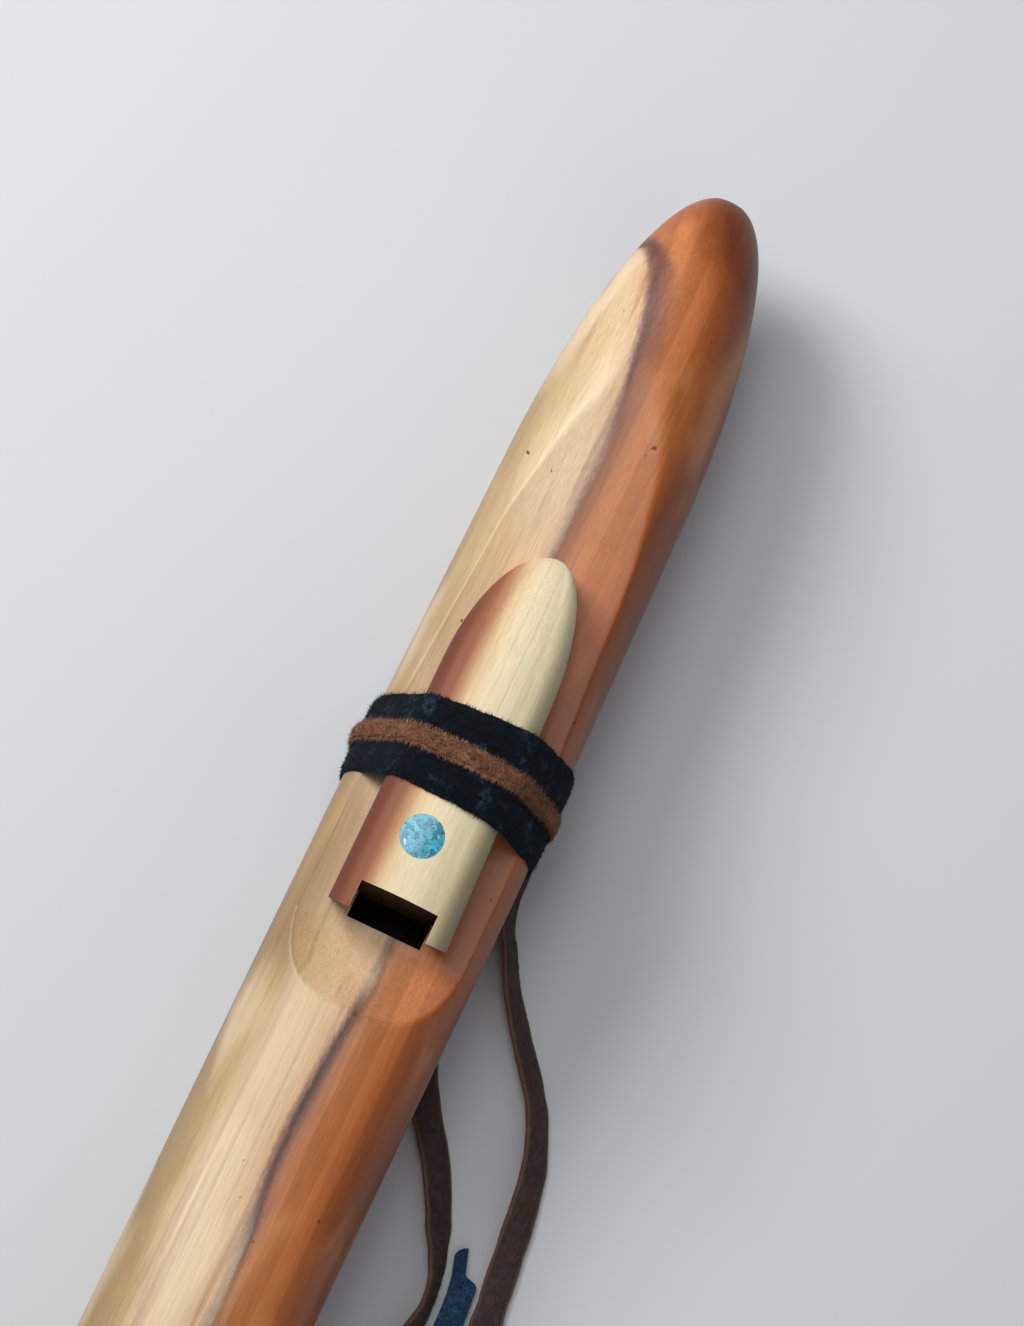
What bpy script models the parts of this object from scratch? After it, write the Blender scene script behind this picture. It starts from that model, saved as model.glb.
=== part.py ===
"""Wooden two-chamber flute with a tied-on block, built from its separate pieces.

The flute lies along Y with its mouth end towards +Y and its block on top (+Z).
Its length is centred on Y, and z = 0 is the surface that it rests on.
"""

import math

import bmesh
import bpy
from mathutils import Vector

MM = 0.001
GAP = 0.3 * MM

# Body, with distances along it counted from the mouth end
LENGTH = 540 * MM
BORE = 19 * MM
WALL = 9.5 * MM
NOSE_LENGTH = 64 * MM
NOSE_TAPER = 1.25 * MM
SWELL = 73 * MM
SQUARENESS = 2.6
FOOT_FLARE_LENGTH = 150 * MM
FOOT_LAND = 12 * MM

# Air ways inside the body
BREATH_HOLE = 6.4 * MM
NOSE_WOOD = 30 * MM
PLUG_LENGTH = 20 * MM
PLUG_TO_SOUND_HOLE = 4.5 * MM
EXIT_HOLE_LENGTH = 6 * MM
EXIT_HOLE_WIDTH = 10 * MM
EXIT_HOLE_TO_PLUG = 1.0 * MM
FLUE_DEPTH = 0.9 * MM
FLUE_WIDTH = 12.5 * MM
SOUND_HOLE_LENGTH = 5 * MM
SOUND_HOLE_WIDTH = 14.4 * MM
SOUND_HOLE_UNDERCUT = 4 * MM

# Nest, the flat that the block sits on
ROOF = 3.0 * MM
NEST_FRONT_ROOM = 1.0 * MM
NEST_REAR_ROOM = 5 * MM
RAMP_LENGTH = 15 * MM
RAMP_BEND = 0.35
RAMP_RISE_BEND = 0.56
RUN_OUT_SLOPE = math.radians(7.0)

# Block
BLOCK_FRONT = 155.4 * MM
BLOCK_LENGTH = 75 * MM
BLOCK_WIDTH = 23.2 * MM
BLOCK_HEIGHT = 14 * MM
BLOCK_FRONT_HEIGHT = 12.4 * MM
BLOCK_FRONT_SLOPE = 19 * MM
BLOCK_NOSE = 26 * MM
BLOCK_NOSE_HEIGHT = 5.0 * MM
BLOCK_SHOULDER = 5.0 * MM
NOSE_RISE = 1.15
BLOCK_CROWN = 0.9 * MM
NOTCH_WIDTH = 14.9 * MM
NOTCH_DEPTH = 5.5 * MM
INLAY = 8 * MM
INLAY_DEPTH = 2 * MM
INLAY_FROM_FRONT = 16.9 * MM
INLAY_OFF_CENTRE = 1.1 * MM

# Strap and lace
STRAP_WIDTH = 17.5 * MM
STRAP_THICKNESS = 1.2 * MM
STRAP_FROM_FRONT = 33.2 * MM
LACE_WIDTH = 3.2 * MM
LACE_THICKNESS = 1.0 * MM
KNOT_RADIUS = 3.2 * MM
KNOT_LENGTH = 8.5 * MM
KNOT_PRESS = 0.8
LACE_TAIL_WIDTH = 6 * MM
STRAP_TAIL_WIDTH = 5.2 * MM
TAIL_THICKNESS = 1.2 * MM

# Finger holes, as shares of the sounding length, and their widths
FINGER_HOLES = ((0.405, 8.0), (0.48, 9.0), (0.555, 8.5), (0.64, 8.5), (0.72, 9.5), (0.80, 9.0))
DIRECTION_HOLE = 7 * MM
DIRECTION_FROM_FOOT = 45 * MM

# Routes of the tails on the resting surface, as (x, y, turn) from the middle of
# their knot in millimetres: turn is how far the strip leans from lying flat, in degrees
LACE_TAIL_RIGHT = (
    (1.0, -4.6, 58), (1.5, -10.5, 60), (2.8, -16.1, 62), (5.2, -20.3, 60),
    (8.3, -26.1, 55), (11.5, -30.7, 50), (15.1, -35.5, 46), (19.0, -40.4, 44),
    (22.2, -45.0, 44), (24.6, -50.2, 42), (26.4, -55.3, 36), (27.7, -62.2, 24),
    (28.6, -69.2, 12), (29.3, -75.1, 6), (30.0, -80.9, 4), (30.8, -87.0, 4),
    (32.4, -96.0, 4), (35.2, -106.0, 4), (38.6, -115.0, 4), (42.4, -124.0, 4),
)
LACE_TAIL_LEFT = (
    (-4.2, -4.6, -48), (-4.9, -12.0, -30), (-5.2, -20.0, -12), (-4.7, -29.0, -4),
    (-3.0, -38.0, 0), (-0.4, -46.0, 4), (2.9, -52.2, 10), (6.6, -57.4, 18),
    (9.6, -61.7, 26), (13.1, -68.2, 30), (15.2, -72.8, 40), (17.0, -77.0, 52),
    (18.3, -81.0, 64), (18.9, -85.0, 68), (18.8, -89.0, 64), (17.4, -96.0, 46),
    (15.2, -104.0, 28), (12.4, -112.0, 14), (9.0, -119.0, 8),
)
STRAP_TAIL_LONG = (
    (0.3, -4.6, 48), (1.2, -10.0, 34), (2.5, -18.0, 12), (4.0, -30.0, 0),
    (5.3, -45.0, 0), (6.8, -62.0, 0), (8.8, -80.0, 0), (12.5, -98.0, 0),
    (19.0, -114.0, 0), (29.0, -126.0, 0), (41.0, -131.5, 0), (51.0, -128.5, 0),
    (57.2, -120.0, 0), (58.9, -108.0, 0), (58.9, -96.0, 0), (58.8, -86.5, 0),
    (58.1, -79.0, 0), (56.4, -73.2, 0),
)
STRAP_TAIL_SHORT = (
    (0.2, 4.6, -40), (0.6, 11.0, -28), (1.6, 19.0, -14), (3.0, 28.0, -4), (3.8, 37.0, -4),
)

BORE_SIDES = 24
SECTION_SIDES = 40
RING_POINTS = 56


def y_at(distance):
    """Y of a place that is so far from the mouth end."""
    return LENGTH / 2 - distance


def body_radius_full():
    return BORE / 2 + WALL


def nest_height():
    """Height of the nest's flat over the bore's axis."""
    return BORE / 2 + ROOF


def smooth(t):
    t = min(max(t, 0.0), 1.0)
    return t * t * (3 - 2 * t)


def body_radius(distance):
    """Half width of the body at a distance from the mouth end."""
    full = body_radius_full()
    nose = full - NOSE_TAPER
    if distance < NOSE_LENGTH:
        left = 1 - distance / NOSE_LENGTH
        return nose * (1 - left ** 1.9) ** (1 / 2.3)
    radius = nose + NOSE_TAPER * min((distance - NOSE_LENGTH) / SWELL, 1.0)
    flare_start = LENGTH - FOOT_LAND - FOOT_FLARE_LENGTH
    return radius + (axis_height() - full) * smooth((distance - flare_start) / FOOT_FLARE_LENGTH)


def body_power(distance):
    """Squareness of the section: round at the nose, slightly square from the nest on."""
    return 2 + (SQUARENESS - 2) * smooth((distance - NOSE_LENGTH) / SWELL)


def axis_height():
    """Height of the bore: strap and lace under the body, with a gap at each."""
    return body_radius_full() + STRAP_THICKNESS + LACE_THICKNESS + 2 * GAP


def strap_middle():
    return BLOCK_FRONT - STRAP_FROM_FRONT


def sound_hole_rear():
    """Distance of the sound hole's edge nearest to the mouth."""
    return BLOCK_FRONT - NOTCH_DEPTH


def plug_front():
    return sound_hole_rear() - PLUG_TO_SOUND_HOLE


def plug_rear():
    return plug_front() - PLUG_LENGTH


def section_point(distance, angle):
    """Point (x, height over the bore) on the body's section."""
    power = body_power(distance)
    c, s = math.cos(angle), math.sin(angle)
    span = (abs(c) ** power + abs(s) ** power) ** (1 / power)
    radius = body_radius(distance) / span
    return radius * c, radius * s


def material(name, colour, roughness):
    """Plain surface of one colour (linear RGB)."""
    made = bpy.data.materials.new(name)
    made.use_nodes = True
    shader = made.node_tree.nodes["Principled BSDF"]
    shader.inputs["Base Color"].default_value = (*colour, 1)
    shader.inputs["Roughness"].default_value = roughness
    made.diffuse_color = (*colour, 1)
    return made


def make_object(name, mesh, surface=None):
    piece = bpy.data.objects.new(name, mesh)
    bpy.context.scene.collection.objects.link(piece)
    if surface:
        mesh.materials.append(surface)
        mesh.shade_smooth()
        mesh.set_sharp_from_angle(angle=math.radians(30))
    else:
        piece.hide_render = True
        piece.display_type = 'WIRE'
    return piece


def loft(name, rings, surface=None, closed=False):
    """Skin closed sections of equal point counts; the ends are capped unless it closes."""
    bm = bmesh.new()
    rows = [[bm.verts.new(point) for point in ring] for ring in rings]
    pairs = list(zip(rows, rows[1:]))
    if closed:
        pairs.append((rows[-1], rows[0]))
    for low, high in pairs:
        for i in range(len(low)):
            j = (i + 1) % len(low)
            bm.faces.new((low[i], low[j], high[j], high[i]))
    if not closed:
        bm.faces.new(list(reversed(rows[0])))
        bm.faces.new(rows[-1])
    bmesh.ops.recalc_face_normals(bm, faces=bm.faces)
    mesh = bpy.data.meshes.new(name)
    bm.to_mesh(mesh)
    bm.free()
    return make_object(name, mesh, surface)


def box(name, x, y, z):
    """Box between pairs of limits."""
    rings = [[(x[0], at, z[0]), (x[1], at, z[0]), (x[1], at, z[1]), (x[0], at, z[1])] for at in y]
    return loft(name, rings)


def rod_y(name, radius, y, surface=None):
    """Round rod along Y on the bore's axis; y holds pairs of (y, radius share)."""
    centre = axis_height()
    rings = []
    for at, share in y:
        turn = [2 * math.pi * (i + 0.5) / BORE_SIDES for i in range(BORE_SIDES)]
        wide = radius * share
        rings.append([(wide * math.cos(a), at, centre + wide * math.sin(a)) for a in turn])
    return loft(name, rings, surface)


def rod_z(name, radius, x, y, z, sides=20, surface=None):
    turn = [2 * math.pi * (i + 0.5) / sides for i in range(sides)]
    rings = [[(x + radius * math.cos(a), y + radius * math.sin(a), at) for a in turn] for at in z]
    return loft(name, rings, surface)


def cut(piece, *cutters):
    for cutter in cutters:
        change = piece.modifiers.new("cut", 'BOOLEAN')
        change.operation = 'DIFFERENCE'
        change.solver = 'EXACT'
        change.object = cutter


def keep_inside(piece, cutter):
    change = piece.modifiers.new("keep", 'BOOLEAN')
    change.operation = 'INTERSECT'
    change.solver = 'EXACT'
    change.object = cutter


def body_stations():
    """Distances at which the body's section is set: close at the nose, wide where it is straight."""
    nose = [NOSE_LENGTH * (i / 13) ** 2 for i in range(1, 14)]
    nose[0] = NOSE_LENGTH * 0.004
    swell = [NOSE_LENGTH + SWELL * i / 4 for i in range(1, 5)]
    flare = LENGTH - FOOT_LAND - FOOT_FLARE_LENGTH
    between = [swell[-1] + (flare - swell[-1]) * i / 3 for i in range(1, 3)]
    foot = [flare + FOOT_FLARE_LENGTH * i / 8 for i in range(9)]
    return [NOSE_LENGTH * 0.001] + nose + swell + between + foot + [LENGTH]


def half_body(name, side, surface):
    """Upper (side 1) or lower (side -1) half of the body, parted on the bore's plane."""
    rings = []
    half = SECTION_SIDES // 2
    seam = GAP / 2
    for distance in body_stations():
        ring = []
        for i in range(half + 1):
            angle = math.pi * i / half
            x, z = section_point(distance, angle)
            z = max(z, seam) if i in (0, half) else max(z, seam * 1.5)
            ring.append((x * side, y_at(distance), axis_height() + side * z))
        rings.append(ring)
    return loft(name, rings, surface)


def bore_cutters():
    """Slow air chamber, sound chamber and breath hole, with rounded chamber ends."""
    r = BORE / 2
    slow = rod_y("slow_air_cutter", r, (
        (y_at(NOSE_WOOD), 0.45), (y_at(NOSE_WOOD + 0.2 * BORE), 0.85),
        (y_at(NOSE_WOOD + 0.5 * BORE), 1.0), (y_at(plug_front()), 1.0)))
    sound = rod_y("sound_bore_cutter", r, ((y_at(plug_front() - GAP), 1.0), (y_at(LENGTH) - WALL, 1.0)))
    breath = rod_y("breath_cutter", BREATH_HOLE / 2, (
        (y_at(-WALL), 1.0), (y_at(NOSE_WOOD + 0.2 * BORE), 1.0)))
    return slow, sound, breath


def nest_cutter():
    """Side outline of the wood that is cut away over the nest, from its foot ramp to its run-out."""
    floor = nest_height()
    top = body_radius_full() * 1.5
    front = BLOCK_FRONT + NEST_FRONT_ROOM
    rear = BLOCK_FRONT - BLOCK_LENGTH - NEST_REAR_ROOM
    climb = body_radius_full() - floor
    outline = [(rear, floor), (front, floor)]
    for i in range(1, 5):
        t = i / 4
        run = t * (1 - RAMP_BEND * (1 - t))
        rise = t * (1 - RAMP_RISE_BEND * (1 - t))
        outline.append((front + RAMP_LENGTH * run, floor + climb * rise))
    outline.append((front + RAMP_LENGTH * 3, top))
    outline.append((rear - (top - floor) / math.tan(RUN_OUT_SLOPE), top))
    reach = body_radius_full() * 2
    rings = [[(x, y_at(d), axis_height() + z) for d, z in outline] for x in (-reach, reach)]
    return loft("nest_cutter", rings)


def mouth_cutters():
    """Exit hole, flue and sound hole, all in the nest's floor."""
    floor = axis_height() + nest_height()
    rear = sound_hole_rear()
    exit_front = plug_rear() - EXIT_HOLE_TO_PLUG
    exit_rear = exit_front - EXIT_HOLE_LENGTH
    high = floor + BLOCK_HEIGHT
    deep = axis_height() + 0.3 * BORE
    hole = box("exit_cutter", (-EXIT_HOLE_WIDTH / 2, EXIT_HOLE_WIDTH / 2),
               (y_at(exit_front), y_at(exit_rear)), (deep, high))
    flue = box("flue_cutter", (-FLUE_WIDTH / 2, FLUE_WIDTH / 2),
               (y_at(rear + GAP), y_at(exit_rear)), (floor - FLUE_DEPTH, high))
    w = SOUND_HOLE_WIDTH / 2
    side = [(rear, high), (rear + SOUND_HOLE_LENGTH, high), (rear + SOUND_HOLE_LENGTH, floor - 0.4 * MM),
            (rear + SOUND_HOLE_LENGTH + SOUND_HOLE_UNDERCUT, deep), (rear, deep)]
    sound = loft("sound_hole_cutter", [[(x, y_at(d), z) for d, z in side] for x in (-w, w)])
    return hole, flue, sound


def sounding_length():
    return LENGTH - DIRECTION_FROM_FOOT - sound_hole_rear() - SOUND_HOLE_LENGTH


def finger_cutters():
    start = sound_hole_rear() + SOUND_HOLE_LENGTH
    made = []
    for number, (share, width) in enumerate(FINGER_HOLES, 1):
        at = y_at(start + share * sounding_length())
        made.append(rod_z(f"finger_cutter_{number}", width / 2 * MM, 0, at,
                          (axis_height(), axis_height() + 2 * body_radius_full())))
    return made


def direction_cutters():
    """One hole up and one down near the foot, each from the bore out through its wall."""
    at = y_at(LENGTH - DIRECTION_FROM_FOOT)
    centre = axis_height()
    reach = 2 * body_radius_full()
    ups = rod_z("direction_cutter_top", DIRECTION_HOLE / 2, 0, at, (centre, centre + reach))
    downs = rod_z("direction_cutter_bottom", DIRECTION_HOLE / 2, 0, at, (centre - reach, centre))
    return ups, downs


def block_height(from_front):
    """Height of the block's top over its base, along its middle."""
    from_tip = BLOCK_LENGTH - from_front
    if from_front < BLOCK_FRONT_SLOPE:
        drop = (1 - from_front / BLOCK_FRONT_SLOPE) ** 1.6
        return BLOCK_HEIGHT - (BLOCK_HEIGHT - BLOCK_FRONT_HEIGHT) * drop
    rise = min(from_tip / (BLOCK_NOSE * NOSE_RISE), 1.0)
    return BLOCK_NOSE_HEIGHT + (BLOCK_HEIGHT - BLOCK_NOSE_HEIGHT) * (1 - (1 - rise) ** 2.2) ** 0.6


def block_half_width(from_front):
    from_tip = BLOCK_LENGTH - from_front
    if from_tip >= BLOCK_NOSE:
        return BLOCK_WIDTH / 2
    return BLOCK_WIDTH / 2 * (1 - (1 - from_tip / BLOCK_NOSE) ** 2.1) ** 0.5


def block_section(from_front):
    """Half a section of the block, (x, height over its base), from the base's edge to the middle."""
    w = block_half_width(from_front)
    h = block_height(from_front)
    r = min(BLOCK_SHOULDER, 0.48 * w, 0.8 * h)
    points = [(w, 0.0)]
    flat = h - BLOCK_CROWN * (w / (BLOCK_WIDTH / 2))
    for i in range(6):
        a = math.pi / 2 * i / 5
        points.append((w - r + r * math.cos(a), flat - r + r * math.sin(a)))
    points.append(((w - r) * 0.5, h - 0.25 * (h - flat)))
    points.append((0.0, h))
    return points


def block_stations():
    slope = [BLOCK_FRONT_SLOPE * i / 5 for i in range(6)]
    straight = BLOCK_LENGTH - BLOCK_NOSE * NOSE_RISE
    nose = [BLOCK_LENGTH - BLOCK_NOSE * NOSE_RISE * (1 - i / 12) ** 1.8 for i in range(13)]
    nose[-1] = BLOCK_LENGTH - BLOCK_NOSE * 0.004
    return slope + [(BLOCK_FRONT_SLOPE + straight) / 2] + nose


def block_base():
    return axis_height() + nest_height() + GAP


def block_body(name, surface=None):
    rings = []
    for from_front in block_stations():
        half = block_section(from_front)
        y = y_at(BLOCK_FRONT - from_front)
        right = [(x, y, block_base() + z) for x, z in half]
        left = [(-x, y, z) for x, y, z in reversed(right[:-1])]
        rings.append(right + left)
    return loft(name, rings, surface)


def make_block(surface):
    block = block_body("block", surface)
    low = block_base() - BLOCK_HEIGHT
    notch = box("notch_cutter", (-NOTCH_WIDTH / 2, NOTCH_WIDTH / 2),
                (y_at(BLOCK_FRONT + NOTCH_DEPTH), y_at(BLOCK_FRONT - NOTCH_DEPTH)),
                (low, low + 4 * BLOCK_HEIGHT))
    at = y_at(BLOCK_FRONT - INLAY_FROM_FRONT)
    seat = block_base() + block_height(INLAY_FROM_FRONT) - INLAY_DEPTH
    pocket = rod_z("inlay_pocket_cutter", INLAY / 2 + GAP, -INLAY_OFF_CENTRE, at,
                   (seat - GAP, seat + BLOCK_HEIGHT), sides=32)
    cut(block, notch, pocket)
    return block


def make_inlay(surface):
    at = y_at(BLOCK_FRONT - INLAY_FROM_FRONT)
    seat = block_base() + block_height(INLAY_FROM_FRONT) - INLAY_DEPTH
    inlay = rod_z("turquoise_inlay", INLAY / 2, -INLAY_OFF_CENTRE, at,
                  (seat, seat + BLOCK_HEIGHT), sides=32, surface=surface)
    keep_inside(inlay, block_body("block_outline_cutter"))
    return inlay


def hull(points):
    """Convex outline of (x, z) points, anticlockwise."""
    points = sorted(set(points))

    def chain(run):
        kept = []
        for p in run:
            while len(kept) > 1:
                a, b = kept[-2], kept[-1]
                if (b[0] - a[0]) * (p[1] - a[1]) - (b[1] - a[1]) * (p[0] - a[0]) > 0:
                    break
                kept.pop()
            kept.append(p)
        return kept

    low = chain(points)
    high = chain(reversed(points))
    return low[:-1] + high[:-1]


def wrap_outline(distance, away):
    """Taut line round body and block at a distance, held away from them, from the bottom on."""
    points = []
    for i in range(72):
        x, z = section_point(distance, 2 * math.pi * i / 72)
        points.append((round(x, 7), round(z, 7)))
    lift = nest_height() + GAP
    for x, z in block_section(STRAP_FROM_FRONT):
        points += [(round(x, 7), round(z + lift, 7)), (round(-x, 7), round(z + lift, 7))]
    grown = []
    for x, z in hull(points):
        for i in range(16):
            a = 2 * math.pi * i / 16
            grown.append((round(x + away * math.cos(a), 7), round(z + away * math.sin(a), 7)))
    line = hull(grown)
    return even_loop(line, RING_POINTS)


def even_loop(line, count):
    """Points at even angles round a convex outline, the first one straight down."""
    made = []
    for i in range(count):
        angle = -math.pi / 2 + 2 * math.pi * i / count
        ray = Vector((math.cos(angle), math.sin(angle)))
        best = 0.0
        for a, b in zip(line, line[1:] + line[:1]):
            a, b = Vector(a), Vector(b)
            edge = b - a
            across = ray.x * edge.y - ray.y * edge.x
            if abs(across) < 1e-14:
                continue
            reach = (a.x * edge.y - a.y * edge.x) / across
            share = (a.x * ray.y - a.y * ray.x) / across
            if -1e-6 <= share <= 1 + 1e-6:
                best = max(best, reach)
        made.append((ray.x * best, ray.y * best))
    return made


def wrap(name, middle, width, inner, thickness, surface=None):
    """Band round body and block: a loop of rectangular sections."""
    edges = (middle - width / 2, middle + width / 2)
    lines = {}
    for edge in edges:
        lines[edge] = (wrap_outline(edge, inner), wrap_outline(edge, inner + thickness))
    rings = []
    for i in range(RING_POINTS):
        ring = []
        for edge, layer in ((edges[0], 0), (edges[0], 1), (edges[1], 1), (edges[1], 0)):
            x, z = lines[edge][layer][i]
            ring.append((x, y_at(edge), max(axis_height() + z, 0.0)))
        rings.append(ring)
    return loft(name, rings, surface, closed=True)


def wrap_space(name, middle, width, away):
    """Solid of all that lies inside a band, with room round it."""
    rings = []
    for edge in (middle - width / 2, middle + width / 2):
        rings.append([(x, y_at(edge), axis_height() + z) for x, z in wrap_outline(edge, away)])
    return loft(name, rings)


def knot_place(side):
    """Middle of a knot in the corner between body, band and resting surface."""
    away = 2 * GAP + STRAP_THICKNESS + LACE_THICKNESS
    line = wrap_outline(strap_middle(), away)
    height = KNOT_RADIUS
    level = height - axis_height()
    near = KNOT_RADIUS * KNOT_PRESS
    x = 0.0
    while x < body_radius_full() * 0.5 or min(math.hypot(x - px, level - pz) for px, pz in line) < near:
        x += 0.1 * MM
    return Vector((side * x, y_at(strap_middle()), height))


def make_knot(name, side, clearances, surface):
    """Round lump of the tied ends, flattened where it lies and cut clear of the bands."""
    centre = knot_place(side)
    rings = []
    sides = 16
    for i in range(1, 12):
        a = math.pi * i / 12
        y = centre.y + KNOT_LENGTH / 2 * math.cos(a)
        r = KNOT_RADIUS * math.sin(a) ** 0.8
        ring = []
        for j in range(sides):
            b = 2 * math.pi * j / sides
            ring.append((centre.x + r * math.cos(b), y, max(centre.z + r * math.sin(b), 0.1 * MM)))
        rings.append(ring)
    knot = loft(name, rings, surface)
    cut(knot, *clearances)
    return knot


def smooth_route(points, steps):
    """Even curve through points (Catmull-Rom), with steps between each pair."""
    padded = [2 * points[0] - points[1]] + points + [2 * points[-1] - points[-2]]
    made = []
    for a, b, c, d in zip(padded, padded[1:], padded[2:], padded[3:]):
        for i in range(steps):
            t = i / steps
            made.append(0.5 * (2 * b + (c - a) * t + (2 * a - 5 * b + 4 * c - d) * t * t
                               + (3 * b - a - 3 * c + d) * t ** 3))
    made.append(points[-1])
    return made


def make_tail(name, knot, route, width, surface, pointed=False):
    """Flat leather strip along a route on the resting surface, leaning by each point's turn."""
    start = knot_place(knot)
    steps = 3
    points = smooth_route([Vector((start.x + x * MM, start.y + y * MM, turn)) for x, y, turn in route], steps)
    rings = []
    for i, point in enumerate(points):
        ahead = points[min(i + 1, len(points) - 1)] - points[max(i - 1, 0)]
        across = Vector((ahead.y, -ahead.x, 0)).normalized()
        turn = math.radians(point.z)
        half = width / 2
        if pointed:
            half *= min(1.0, 0.35 + (len(points) - 1 - i) / 4)
        wide = across * math.cos(turn) * half + Vector((0, 0, math.sin(turn) * half))
        thick = (Vector((0, 0, math.cos(turn))) - across * math.sin(turn)) * TAIL_THICKNESS / 2
        height = abs(wide.z) + abs(thick.z) + 0.1 * MM
        centre = Vector((point.x, point.y, height))
        rings.append([centre - wide - thick, centre + wide - thick,
                      centre + wide + thick, centre - wide + thick])
    return loft(name, rings, surface)


def main():
    for old in list(bpy.data.objects):
        bpy.data.objects.remove(old)
    apple = material("two_tone_wood", (0.56, 0.27, 0.10), 0.4)
    cedar = material("block_wood", (0.80, 0.70, 0.50), 0.45)
    stone = material("crushed_turquoise", (0.08, 0.48, 0.62), 0.3)
    suede = material("navy_suede", (0.006, 0.010, 0.018), 0.95)
    hide = material("brown_suede", (0.20, 0.085, 0.040), 0.9)

    slow, sound, breath = bore_cutters()
    upper = half_body("upper_half", 1, apple)
    lower = half_body("lower_half", -1, apple)
    exit_hole, flue, sound_hole = mouth_cutters()
    up_hole, down_hole = direction_cutters()
    cut(upper, slow, sound, breath, nest_cutter(), exit_hole, flue, sound_hole, *finger_cutters(), up_hole)
    cut(lower, slow, sound, breath, down_hole)

    plug_radius = BORE / 2 - GAP
    rod_y("chamber_plug", plug_radius, ((y_at(plug_rear() + GAP), 1.0), (y_at(plug_front() - GAP), 1.0)),
          surface=apple)

    make_block(cedar)
    make_inlay(stone)

    middle = strap_middle()
    wrap("strap_wrap", middle, STRAP_WIDTH, GAP, STRAP_THICKNESS, suede)
    lace_inner = 2 * GAP + STRAP_THICKNESS
    wrap("lace_wrap", middle, LACE_WIDTH, lace_inner, LACE_THICKNESS, hide)
    strap_space = wrap_space("strap_space_cutter", middle, STRAP_WIDTH + 4 * GAP, STRAP_THICKNESS + 2 * GAP)
    lace_space = wrap_space("lace_space_cutter", middle, LACE_WIDTH + 2 * GAP,
                            lace_inner + LACE_THICKNESS + GAP)
    make_knot("lace_knot", 1, (strap_space, lace_space), hide)
    make_knot("strap_knot", -1, (strap_space, lace_space), suede)

    make_tail("lace_tail_right", 1, LACE_TAIL_RIGHT, LACE_TAIL_WIDTH, hide)
    make_tail("lace_tail_left", 1, LACE_TAIL_LEFT, LACE_TAIL_WIDTH, hide)
    make_tail("strap_tail_long", -1, STRAP_TAIL_LONG, STRAP_TAIL_WIDTH, suede, pointed=True)
    make_tail("strap_tail_short", -1, STRAP_TAIL_SHORT, STRAP_TAIL_WIDTH, suede, pointed=True)


main()
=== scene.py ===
"""Wooden flute with a block tied on by suede: a small add-on that dresses its frame."""

import math
import random

import bmesh
import bpy
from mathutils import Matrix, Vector, noise


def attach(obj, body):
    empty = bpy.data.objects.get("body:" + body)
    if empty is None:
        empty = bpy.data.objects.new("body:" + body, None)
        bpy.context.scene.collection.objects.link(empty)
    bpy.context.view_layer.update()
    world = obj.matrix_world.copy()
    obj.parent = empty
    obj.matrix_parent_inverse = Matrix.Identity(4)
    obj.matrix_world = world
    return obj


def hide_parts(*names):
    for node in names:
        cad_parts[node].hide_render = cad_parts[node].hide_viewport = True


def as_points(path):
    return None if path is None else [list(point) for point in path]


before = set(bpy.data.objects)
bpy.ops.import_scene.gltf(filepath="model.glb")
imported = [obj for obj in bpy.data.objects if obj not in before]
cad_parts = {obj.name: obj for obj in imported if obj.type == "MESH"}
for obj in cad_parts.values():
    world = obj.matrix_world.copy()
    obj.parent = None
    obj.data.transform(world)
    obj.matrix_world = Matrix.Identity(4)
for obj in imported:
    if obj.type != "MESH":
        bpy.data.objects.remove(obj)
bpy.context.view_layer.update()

bl_info = {
    "name": "Tied-block flute",
    "version": (1, 0, 0),
    "blender": (4, 5, 0),
    "location": "View3D > Sidebar > Flute",
    "description": "Builds a two-chamber wooden flute with its block, suede ties and inlay",
    "category": "Object",
}

MM = 0.001
FLUTE = "flute"
BLOCK = "block"

# Sizes repeated from the frame's source
GAP = 0.3 * MM
LENGTH = 540 * MM
BORE = 19 * MM
WALL = 9.5 * MM
NOSE_LENGTH = 64 * MM
NOSE_TAPER = 1.25 * MM
SWELL = 73 * MM
SQUARENESS = 2.6
FOOT_FLARE_LENGTH = 150 * MM
FOOT_LAND = 12 * MM
BREATH_HOLE = 6.4 * MM
NOSE_WOOD = 30 * MM
PLUG_TO_SOUND_HOLE = 4.5 * MM
PLUG_LENGTH = 20 * MM
ROOF = 3.0 * MM
BLOCK_FRONT = 155.4 * MM
BLOCK_LENGTH = 75 * MM
BLOCK_WIDTH = 23.2 * MM
BLOCK_HEIGHT = 14 * MM
BLOCK_FRONT_HEIGHT = 12.4 * MM
BLOCK_FRONT_SLOPE = 19 * MM
BLOCK_NOSE = 26 * MM
BLOCK_NOSE_HEIGHT = 5.0 * MM
NOSE_RISE = 1.15
BLOCK_SHOULDER = 5.0 * MM
BLOCK_CROWN = 0.9 * MM
NOTCH_WIDTH = 14.9 * MM
NOTCH_DEPTH = 5.5 * MM
INLAY = 8 * MM
INLAY_DEPTH = 2 * MM
INLAY_FROM_FRONT = 16.9 * MM
INLAY_OFF_CENTRE = 1.1 * MM
RUN_OUT_SLOPE = math.radians(7.0)
RAMP_LENGTH = 15 * MM
RAMP_RISE_BEND = 0.56
SOUND_HOLE_LENGTH = 5 * MM
SOUND_HOLE_WIDTH = 14.4 * MM
FLUE_WIDTH = 12.5 * MM
FLUE_DEPTH = 0.9 * MM
EXIT_HOLE_LENGTH = 6 * MM
EXIT_HOLE_WIDTH = 10 * MM
STRAP_FROM_FRONT = 33.2 * MM
STRAP_THICKNESS = 1.2 * MM
LACE_THICKNESS = 1.0 * MM
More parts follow.
